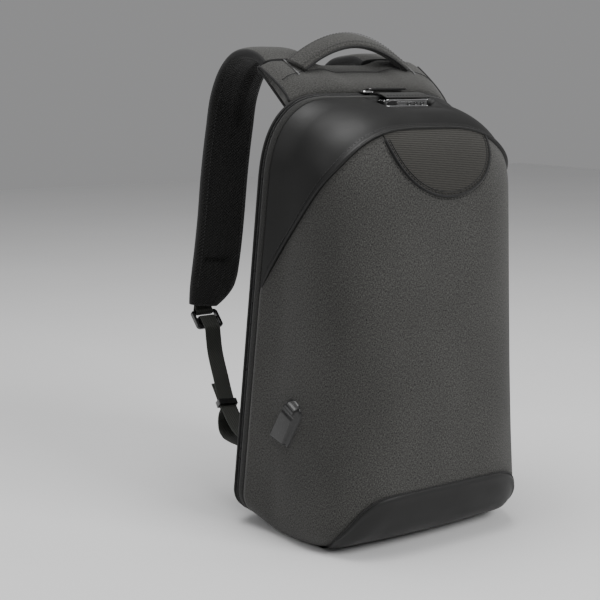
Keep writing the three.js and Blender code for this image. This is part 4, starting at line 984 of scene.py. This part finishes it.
def make_yoke():
    stations = YOKE_HALF * np.sin(np.linspace(-np.pi / 2, np.pi / 2, 97))
    rings = []
    for x in stations:
        rim = float(rim_top(x + YOKE_SHIFT))
        front = edge_y(rim) + BINDING_BEHIND + GAP
        over = rim - BACK_INSET + GAP
        ys = mix(front, YOKE_REAR_Y - 0.0015, np.linspace(0, 1, 30) ** 1.2)
        ring = [(front, over)] + [(y, float(yoke_top(x, y))) for y in ys]
        crest = float(yoke_top(x, YOKE_REAR_Y))
        to_end = float(smooth((abs(x) - 0.058) / (YOKE_HALF - 0.058)))
        rear_low = mix(rim - 0.020, crest - 0.005, to_end)
        front_low = mix(rim - 0.020, over - 0.00125, to_end)
        for share in (0.08, 0.3, 0.55, 0.8):
            ring.append((YOKE_REAR_Y - 0.0002 * share, mix(crest - 0.0012, rear_low, share)))
        ring.append((YOKE_REAR_Y - 0.003, rear_low))
        behind = BACK_THICKNESS + 2 * GAP
        ring.append((edge_y(front_low) + behind, front_low))
        ring.append((edge_y(over) + behind, over))
        ring = np.array(ring)
        rings.append(np.stack([x + yoke_shift(ring[:, 0]), ring[:, 0], ring[:, 1]], axis=-1))
    rings = np.array(rings)
    faces = [tuple(f) for f in grid_faces(*rings.shape[:2], True)]
    columns = rings.shape[1]
    faces.append(tuple(range(columns)))
    faces.append(tuple(range(rings.shape[0] * columns - columns, rings.shape[0] * columns))[::-1])
    uv = rings[..., [0, 1]] + np.stack([np.zeros(rings.shape[:2]), rings[..., 2]], axis=-1)
    yoke = mesh_object("yoke_cloth", rings.reshape(-1, 3), faces, GREY_TOP, uv.reshape(-1, 2))
    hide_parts("top_yoke")
    for side, ring in (("left", rings[0]), ("right", rings[-1])):
        path = np.concatenate([ring[1:36], ring[36:38]])
        tube(f"yoke_binding_{side}", path, 0.0014, BINDING)
    make_yoke_seams()


def make_yoke_seams():
    """A sewn line across the padding and a row of stitches beside it."""
    stations = np.linspace(-0.097, 0.097, 140)
    dip = 0.024 - 0.002 * np.minimum(0, stations / 0.1) + 0.004 * (np.abs(stations) / 0.1) ** 3
    y = YOKE_REAR_Y - dip
    path = np.stack([stations + yoke_shift(y), y, yoke_top(stations, y) + 0.0001], axis=-1)
    up = np.tile([0.0, -0.3, 1.0], (len(path), 1))
    tube("yoke_seam", path, 0.0005, BINDING, sides=6)
    stitches("yoke_stitches", path + np.array([0, -0.0028, -0.0006]), up, THREAD)


def handle_point(share):
    return np.stack([
        HANDLE_HALF_SPAN * share,
        np.full(np.shape(share), HANDLE_Y),
        HANDLE_CREST - HANDLE_DROP * np.abs(share) ** 1.9,
    ], axis=-1)


def make_handle():
    """A padded band: cloth over foam, piped along both edges."""
    path = handle_point(np.linspace(-0.985, 0.985, 90))
    lean = (0, math.cos(HANDLE_TILT), math.sin(HANDLE_TILT))
    section = rounded_section(HANDLE_WIDTH - 0.001, HANDLE_THICKNESS, 3.0, 32)
    crowned = section.copy()
    crowned[:, 1] *= 1 + 0.06 * np.cos(section[:, 0] / HANDLE_WIDTH * 2 * np.pi)
    handle = swept("handle_cloth", path, lean, crowned, GREY_TOP)
    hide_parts("carry_handle")
    _, across, through = frames_along(path, lean)
    half = HANDLE_WIDTH / 2
    outer = 1 if through[len(path) // 2][2] > 0 else -1
    for name, side in (("rear", 1), ("front", -1)):
        tube(f"handle_piping_{name}", path + across * side * (half - 0.0004), 0.0012, BINDING, sides=8)
        line = path + across * side * (half - 0.0045) + through * outer * (HANDLE_THICKNESS / 2 - 0.0001)
        stitches(f"handle_stitches_{name}", line, through * outer, THREAD)


STRAP_ROWS = (
    (0, 0.044, 0), (0.15, 0.014, 0), (0.35, 0, 0.02), (0.58, 0.014, 0.04), (0.79, 0.072, 0.07),
    (0.93, 0.166, 0.12), (0.99, 0.296, 0.2), (1, 0.477, 0.4), (0.99, 0.657, 0.58),
    (0.99, 0.838, 0.8), (1.02, 1, 1),
)
STRAP_REACH = 0.107
STRAP_TOP = 0.487
STRAP_DROP = 0.276
STRAP_SPREAD = 0.032
STRAP_FOOT_NARROWING = 0.024
STRAP_FOOT_SHIFT = 0.009
SIDES = (("left", -1, 0, 0), ("right", 1, 0.012, 0.007))


def strap_point(sign, inward, sag, row):
    reach, drop, spread = row
    x = STRAP_ROOT_X - inward + STRAP_SPREAD * spread
    y = YOKE_REAR_Y + GAP + STRAP_REACH * reach
    z = STRAP_TOP - STRAP_DROP * drop - sag * float(smooth(reach * 3)) * (1 - drop)
    return np.array([sign * x, y, z])


def make_strap(side, sign, inward, sag):
    """Foam strap: cloth outside, mesh inside, bound edges, a sewn channel and a pressed bar near its foot."""
    path = curve_through([strap_point(sign, inward, sag, row) for row in STRAP_ROWS], 150)
    shares = np.linspace(0, 1, len(path))
    to_foot = np.maximum(0, (shares - 0.92) / 0.08) ** 2
    base = rounded_section(1, 1, 3.2, 44)
    width = (STRAP_WIDTH - STRAP_FOOT_NARROWING * to_foot)[:, None]
    thickness = (STRAP_THICKNESS * (1 - 0.25 * np.maximum(0, (shares - 0.92) / 0.08)))[:, None]
    u = base[None, :, 0] * width + (STRAP_FOOT_SHIFT * to_foot)[:, None]
    v = base[None, :, 1] * thickness
    _, across, through = frames_along(path, (sign, 0, 0))
    inner = 1 if through[80][1] < 0 else -1
    inside = np.sign(base[None, :, 1]) == inner
    length = smooth((shares - 0.16) / 0.05) * smooth((0.60 - shares) / 0.04)
    channel = bump(u, -0.006, 0.0022) * length[:, None]
    bar = bump(shares, 0.885, 0.008)[:, None] * smooth((0.017 - np.abs(u - 0.006)) / 0.008)
    pinch = bump(shares, 0.93, 0.012)[:, None] * 0.4
    pressed = inner * (0.0034 * channel + 0.0045 * bar + 0.002 * pinch)
    v = np.where(inside, v - pressed, v - np.sign(v) * 0.0006 * pinch)
    swell = 0.0008 * np.sin(shares * 46)[:, None] * (1 - base[None, :, 0] ** 2 * 3)
    v = v + np.where(inside, inner * swell * 0.5, 0)
    section = np.stack([u, v], axis=-1)
    kinds = np.where(np.abs(base[:, 0]) > 0.472, 2, np.where(np.sign(base[:, 1]) == inner, 1, 0))
    cloths = [GREY_TOP, MESH, BINDING]
    strap = swept(f"shoulder_strap_cloth_{side}", path, (sign, 0, 0), section, cloths, kinds)
    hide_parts(f"shoulder_strap_{side}")
    reach = STRAP_WIDTH / 2 - 0.006
    for name, edge in (("inner", -1), ("outer", 1)):
        spread = (edge * (reach - STRAP_FOOT_NARROWING / 2 * to_foot) + STRAP_FOOT_SHIFT * to_foot)[:, None]
        line = path + across * spread + through * inner * thickness * 0.452
        stitches(f"strap_stitches_{side}_{name}", line[6:-6], through[6:-6] * inner, THREAD)


# Webbing, buckles and tabs

BUCKLE_TILT = 0.8
BUCKLE_HEIGHT = 0.024
BUCKLE_THICKNESS = 0.004
BUCKLE_BELOW = 0.005
TOP_BAR = 0.003
UPPER_SLOT = 0.007
ANCHOR_X = 0.121
ANCHOR_Z = 0.082
ANCHOR_HEIGHT = 0.034
ANCHOR_THICKNESS = 0.003
LOOP_THICKNESS = 0.0014
FOLDED_PITCH = WEBBING_THICKNESS + 2 * GAP
WEBBING_ROWS = (
    (0, 0, 0), (0.09, 0.25, 0.15), (0.27, 0.49, 0.38), (0.48, 0.74, 0.62), (0.8, 0.94, 0.9), (1, 1, 1),
)
FOLDED_ROWS = (
    (-0.07, 0.2, 0.05), (-0.1, 0.5, 0.12), (-0.04, 0.8, 0.25),
    (0.15, 0.98, 0.45), (0.5, 1.03, 0.7), (1, 1, 1),
)
SLIDER_SHARE = 0.6
SLIDER_LENGTH = 0.007
FOLDED_END = 0.026


def buckle_top(sign, inward, sag):
    foot = strap_point(sign, inward, sag, STRAP_ROWS[-1])
    return foot + np.array([sign * STRAP_FOOT_SHIFT, 0, -BUCKLE_BELOW])


def by_buckle(top, behind, below):
    y = behind * math.cos(BUCKLE_TILT) - below * math.sin(BUCKLE_TILT)
    z = -behind * math.sin(BUCKLE_TILT) - below * math.cos(BUCKLE_TILT)
    return top + np.array([0, y, z])


def tab_rear_y(z):
    return edge_y(z) + BACK_THICKNESS + GAP + ANCHOR_THICKNESS / math.cos(math.atan(BACK_LEAN))


def strip(name, path, width, thickness, material, hint=(1, 0, 0)):
    """Flat webbing with rolled edges."""
    section = rounded_section(width, thickness, 5, 16)
    return swept(name, path, hint, section, material)


def placed(start, end, row):
    """A point between two others, with its own share for depth, height and width."""
    reach, drop, spread = row
    return mix(start, end, np.array([spread, reach, drop]))


def make_webbing(side, sign, inward, sag):
    top = buckle_top(sign, inward, sag)
    out = BUCKLE_THICKNESS / 2 + GAP + WEBBING_THICKNESS / 2
    over = TOP_BAR + UPPER_SLOT - GAP - WEBBING_THICKNESS / 2
    turn = 0.0016
    wrap = [
        (out, over + 0.013), (out, over + 0.006), (out, over + turn), (out - turn, over), (-out + turn, over),
        (-out, over + turn), (-out, over + 0.007), (-out, BUCKLE_HEIGHT - 0.001),
    ]
    around = curve_through([by_buckle(top, *spot) for spot in wrap], 50)
    start = by_buckle(top, -out, BUCKLE_HEIGHT + 0.002)
    end = np.array([sign * ANCHOR_X, tab_rear_y(ANCHOR_Z) + GAP, ANCHOR_Z + ANCHOR_HEIGHT / 5])
    run = curve_through([placed(start, end, row) for row in WEBBING_ROWS], 90)
    path = np.concatenate([around, run])
    path[:, 1] = np.maximum(path[:, 1], [tab_rear_y(z) + GAP for z in path[:, 2]])
    piece = strip(f"webbing_{side}", path, WEBBING_WIDTH, WEBBING_THICKNESS, WEBBING)
    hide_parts(f"strap_webbing_{side}")
    make_folded_end(side, run, end)
    make_strap_loop(side, top)
    make_anchor(side, sign)


def make_folded_end(side, run, end):
    k = int(SLIDER_SHARE * (len(run) - 1))
    centre = run[k]
    along = unit(run[k + 1] - run[k - 1])
    x = np.array([1.0, 0, 0])
    across = unit(x - along * along[0])
    through = np.cross(along, across)
    through = through if through[2] < 0 else -through

    def laid_by(distance, drop):
        return centre + along * distance + through * drop

    low = end + np.array([0, 0, -ANCHOR_HEIGHT / 5 - ANCHOR_HEIGHT / 16])
    out = laid_by(0.9 * SLIDER_LENGTH, FOLDED_PITCH)
    hanging = [placed(out, low, row) for row in FOLDED_ROWS]
    spots = [
        laid_by(-FOLDED_END, 1.5 * FOLDED_PITCH), laid_by(-FOLDED_END / 2, 1.1 * FOLDED_PITCH),
        laid_by(-0.6 * SLIDER_LENGTH, FOLDED_PITCH), laid_by(0.5 * SLIDER_LENGTH, FOLDED_PITCH),
        out, *hanging,
    ]
    path = curve_through(spots, 110)
    path[:, 1] = np.maximum(path[:, 1], [tab_rear_y(z) + GAP for z in path[:, 2]])
    piece = strip(f"webbing_fold_{side}", path, WEBBING_WIDTH, WEBBING_THICKNESS, WEBBING)
    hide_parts(f"webbing_end_{side}")


def make_strap_loop(side, top):
    """The loop of webbing that holds the buckle, run up into the strap's foot."""
    out = BUCKLE_THICKNESS / 2 + GAP + LOOP_THICKNESS / 2
    low = TOP_BAR + GAP + LOOP_THICKNESS / 2
    turn = 0.0016
    spots = [
        (-out, -0.001), (-out, low - turn), (-out + turn, low),
        (out - turn, low), (out, low - turn), (out, -0.001),
    ]
    path = [by_buckle(top, *spot) for spot in spots]
    path = [path[0] + np.array([0, 0.0015, 0.008])] + path + [path[-1] + np.array([0, -0.0015, 0.008])]
    piece = strip(f"buckle_loop_{side}", curve_through(path, 40), 0.021, LOOP_THICKNESS, WEBBING)
    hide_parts(f"strap_loop_{side}")


def make_anchor(side, sign):
    """The sewn tab that holds the webbing to the back, with a box of stitches and one diagonal across it."""
    half_x, half_z = 0.012, ANCHOR_HEIGHT / 2
    xs = np.linspace(-half_x, half_x, 13)
    zs = np.linspace(-half_z, half_z, 19)
    grid = []
    for dz in zs:
        row = []
        for dx in xs:
            edge = min(half_x - abs(dx), half_z - abs(dz))
            z = ANCHOR_Z + dz
            y = edge_y(z) + BACK_THICKNESS + GAP + ANCHOR_THICKNESS * float(smooth(edge / 0.0022))
            row.append((sign * ANCHOR_X + dx, y, z))
        grid.append(row)
    points = np.array(grid)
    piece = grid_object(f"anchor_tab_cloth_{side}", points, WEBBING, flip=True)
    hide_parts(f"anchor_tab_{side}")
    margin = 0.003
    low = ANCHOR_Z - half_z + margin
    high = low + 0.011
    left = sign * ANCHOR_X - half_x + margin
    right = sign * ANCHOR_X + half_x - margin
    corners = [(left, low), (right, low), (right, high), (left, high), (left, low), (right, high)]
    path = resampled(np.array([(x, tab_rear_y(z) + 0.0002, z) for x, z in corners]), 0.001)
    stitches(f"anchor_stitches_{side}", path, np.tile([0.0, 1.0, 0.1], (len(path), 1)), PALE_THREAD)


# Lock, zip slider and port cover

def bevelled(node, width, segments=2):
    """Small rounded edges on a CAD node that stays in view."""
    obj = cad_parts[node]
    modifier = obj.modifiers.new("rounded", "BEVEL")
    modifier.width = width
    modifier.segments = segments
    modifier.limit_method = "ANGLE"
    modifier.angle_limit = math.radians(30)
    modifier.harden_normals = False
    for polygon in obj.data.polygons:
        polygon.use_smooth = False
    return obj


def finish_node(node, material, width=0.0):
    obj = bevelled(node, width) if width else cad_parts[node]
    if not obj.material_slots:
        obj.data.materials.append(material)
    for place in obj.material_slots:
        place.material = material


def box_piece(name, low, high, material, radius=0.0005):
    """A bar with rounded edges between two corners."""
    low = np.array(low)
    high = np.array(high)
    centre = (low + high) / 2
    half = (high - low) / 2
    axis = int(np.argmax(half))
    others = [i for i in range(3) if i != axis]
    path = np.tile(centre, (12, 1))
    ends = np.array([0, 0.004, 0.02, 0.1, 0.25, 0.4, 0.6, 0.75, 0.9, 0.98, 0.996, 1.0])
    path[:, axis] = mix(low[axis], high[axis], ends)
    hint = np.zeros(3)
    hint[others[0]] = 1
    section = rounded_section(2 * half[others[0]], 2 * half[others[1]], 6, 20)
    shrink = np.minimum(1, 0.6 + np.minimum(ends, 1 - ends) * (high - low)[axis] / radius * 0.4)
    sections = section[None] * shrink[:, None, None]
    piece = swept(name, path, hint, sections, material)
    return piece


def make_lock():
    finish_node("lock_housing", METAL, 0.0003)
    for number in (1, 2, 3):
        finish_node(f"lock_dial_{number}", GLOSS, 0.0002)
        make_digits(number)
    finish_node("zip_slider", BRIGHT, 0.0004)
    finish_node("zip_pull", GLOSS, 0.0003)
    left, right = LOCK_X - LOCK_HALF, LOCK_X + LOCK_HALF
    low, high = (left + 0.001, 0.0141, 0.4391), (right - 0.001, 0.0151, 0.4403)
    box_piece("lock_top_trim", low, high, BRIGHT)
    low, high = (left + 0.001, 0.0134, 0.4325), (right - 0.001, 0.0149, 0.4341)
    box_piece("lock_lower_lip", low, high, BRIGHT)
    low, high = (left + 0.004, 0.0150, 0.4346), (left + 0.016, 0.0164, 0.4386)
    box_piece("lock_slide_button", low, high, GLOSS)
    make_flap()


def make_digits(number):
    """Plain numerals round a dial."""
    x = LOCK_X + 0.012 + (number - 2) * 0.0085
    centre = np.array([x, 0.02065, 0.43395])
    for digit in range(10):
        turn = 2 * math.pi * digit / 10
        data = bpy.data.curves.new(f"digit_{number}_{digit}", "FONT")
        data.body = str(digit)
        data.size = 0.0031
        data.extrude = 0.00008
        data.align_x = "CENTER"
        data.align_y = "CENTER"
        data.resolution_u = 2
        data.materials.append(PAINT)
        obj = bpy.data.objects.new(f"dial_{number}_numeral_{digit}", data)
        bpy.context.scene.collection.objects.link(obj)
        outwards = np.array([0, -math.cos(turn), math.sin(turn)])
        obj.location = centre + outwards * 0.00512
        obj.rotation_euler = (math.pi / 2 - turn, 0, 0)
        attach(obj, f"dial_{number}")



def make_flap():
    """The stitched cloth flap that slopes from the band down over the lock."""
    rear, bend, front = 0.0374, LOCK_FRONT_Y + LOCK_DEPTH + 0.0004, LOCK_FRONT_Y + 0.001
    over = BODY_HEIGHT + 0.0011
    low = LOCK_TOP + 0.0018
    x0 = LOCK_X + 0.0035
    spots = [
        (x0, rear, over), (x0, bend + 0.002, over + 0.0001),
        (x0, bend - 0.004, over - 0.0012), (x0, front, low),
    ]
    path = curve_through(spots, 26)
    section = rounded_section(0.057, 0.0015, 6, 30)
    flap = swept("lock_flap_cloth", path, (1, 0, 0), section, GREY_BAND)
    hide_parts("lock_flap")
    _, y, z = path[-2] + np.array([0, 0.0028, 0.0019])
    edge = np.array([(x0 + dx, y, z) for dx in np.linspace(-0.026, 0.026, 60)])
    stitches("flap_stitches", edge, np.tile([0.0, -0.4, 1.0], (60, 1)), THREAD)


COVER_Y = 0.006
COVER_Z = 0.126
COVER_TILT = 0.54
COVER_HALF = 0.0145
COVER_TAPER = 0.92
COVER_HEIGHT = 0.050
COVER_FOOT_SLANT = 0.0055
COVER_FOOT_DROP = 0.0025


def cover_spot(across, up):
    """A point of the port cover's own plane, laid on the bag's left side, and the way out."""
    topping = max(0, (up - 0.72) / 0.28)
    half = COVER_HALF * mix(1, COVER_TAPER, up) * math.sqrt(max(0.02, 1 - 0.96 * topping ** 2.4))
    u = across * half
    v = (up - 0.5) * COVER_HEIGHT - (COVER_FOOT_SLANT * across + COVER_FOOT_DROP) * (1 - up)
    y = COVER_Y + u * math.cos(COVER_TILT) - v * math.sin(COVER_TILT)
    z = COVER_Z + u * math.sin(COVER_TILT) + v * math.cos(COVER_TILT)
    return laid((-0.4, y, z), (1, 0, 0))


def make_port_cover():
    ups = np.concatenate([[0, 0.012, 0.03], np.linspace(0.05, 0.95, 46), [0.975, 0.99, 1]])
    sides = np.sin(np.linspace(-np.pi / 2, np.pi / 2, 41))
    points = []
    for up in ups:
        row = []
        for across in sides:
            spot, _ = cover_spot(across, up)
            from_side = (1 - abs(across)) * COVER_HALF * mix(1, 0.75, up)
            edge = min(from_side, up * COVER_HEIGHT, (1 - up) * COVER_HEIGHT)
            body = float(smooth((edge - 0.0018) / 0.0026))
            ridge = 1 + 0.4 * float(bump(up, 0.83, 0.035)) - 0.22 * float(bump(up, 0.74, 0.03))
            lift = 0.002 * float(smooth(edge / 0.0008)) + 0.0046 * body * ridge
            row.append(spot + np.array([-1.0, 0, 0]) * (lift + 0.0003))
        points.append(row)
    points = np.array(points)
    cover = grid_object("port_cover_rubber", points, RUBBER, flip=False)
    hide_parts("usb_cover")
    spots = [cover_spot(across, 0.035) for across in np.linspace(-0.85, 0.85, 30)]
    path = np.array([p for p, _ in spots]) + np.array([-0.0042, 0, 0])
    outwards = np.tile([-1.0, 0, 0], (len(path), 1))
    stitches("port_cover_stitches", path, outwards, PALE_THREAD, length=0.0022, gap=0.0012)


# Stage

def make_stage():
    mesh = bpy.data.meshes.new("studio_floor")
    size = 4.0
    rows = 24
    grid = np.stack(np.meshgrid(np.linspace(-size, size, rows), np.linspace(-size, size, rows)), axis=-1)
    corners = np.concatenate([grid, np.full((rows, rows, 1), -0.0002)], axis=-1)
    faces = [tuple(int(i) for i in f) for f in grid_faces(rows, rows, False)]
    mesh.from_pydata(corners.reshape(-1, 3).tolist(), [], faces)
    mesh.materials.append(floor_material())
    floor = bpy.data.objects.new("studio_floor", mesh)
    bpy.context.scene.collection.objects.link(floor)
    world = bpy.data.worlds.new("studio")
    world.use_nodes = True
    world.node_tree.nodes["Background"].inputs["Color"].default_value = (0.94, 0.94, 0.95, 1)
    world.node_tree.nodes["Background"].inputs["Strength"].default_value = 0.30
    bpy.context.scene.world = world
    lamp("key", (0.7, -2.1, 1.7), 1.2, 50)
    lamp("side", (-2.2, 0.3, 1.5), 1.4, 10)
    lamp("top", (-0.3, 0.2, 2.3), 1.5, 38)
    lamp("right", (2.0, -1.0, 0.9), 1.0, 8)


def lamp(name, place, size, power):
    """A soft square light aimed at the middle of the bag."""
    data = bpy.data.lights.new(name, "AREA")
    data.size = size
    data.energy = power
    obj = bpy.data.objects.new(name, data)
    obj.location = place
    aim = Vector((0, 0, 0.27)) - Vector(place)
    obj.rotation_euler = aim.to_track_quat("-Z", "Y").to_euler()
    bpy.context.scene.collection.objects.link(obj)


def make_camera():
    place = Vector((-0.8093, -1.0263, 0.4659))
    aim = Vector((-0.10826, 0.0130, 0.2457))
    data = bpy.data.cameras.new("camera")
    data.sensor_width = 36
    data.lens = 77.27
    obj = bpy.data.objects.new("camera", data)
    obj.location = place
    obj.rotation_euler = (aim - place).to_track_quat("-Z", "Y").to_euler()
    bpy.context.scene.collection.objects.link(obj)
    bpy.context.scene.camera = obj


def seam_stitches(points, normal):
    """A row of stitches on the coated panel beside its rolled edge."""
    line = points[8][4:-4]
    away = normal[8][4:-4]
    stitches("upper_panel_stitches", line + away * 0.0001, away, THREAD)


make_camera()
make_stage()
make_front()
upper_points, upper_normal = make_upper()
seam_stitches(upper_points, upper_normal)
make_lower()
make_patch()
make_rings()
make_back()
make_yoke()
make_handle()
for trim in ("handle_trim_left", "handle_trim_right"):
    finish_node(trim, BRIGHT, 0.0004)
for settings in SIDES:
    make_strap(*settings)
    make_webbing(*settings)
    finish_node(f"ladder_lock_{settings[0]}", GLOSS, 0.0004)
    finish_node(f"web_slider_{settings[0]}", GLOSS, 0.0003)
make_lock()
make_port_cover()
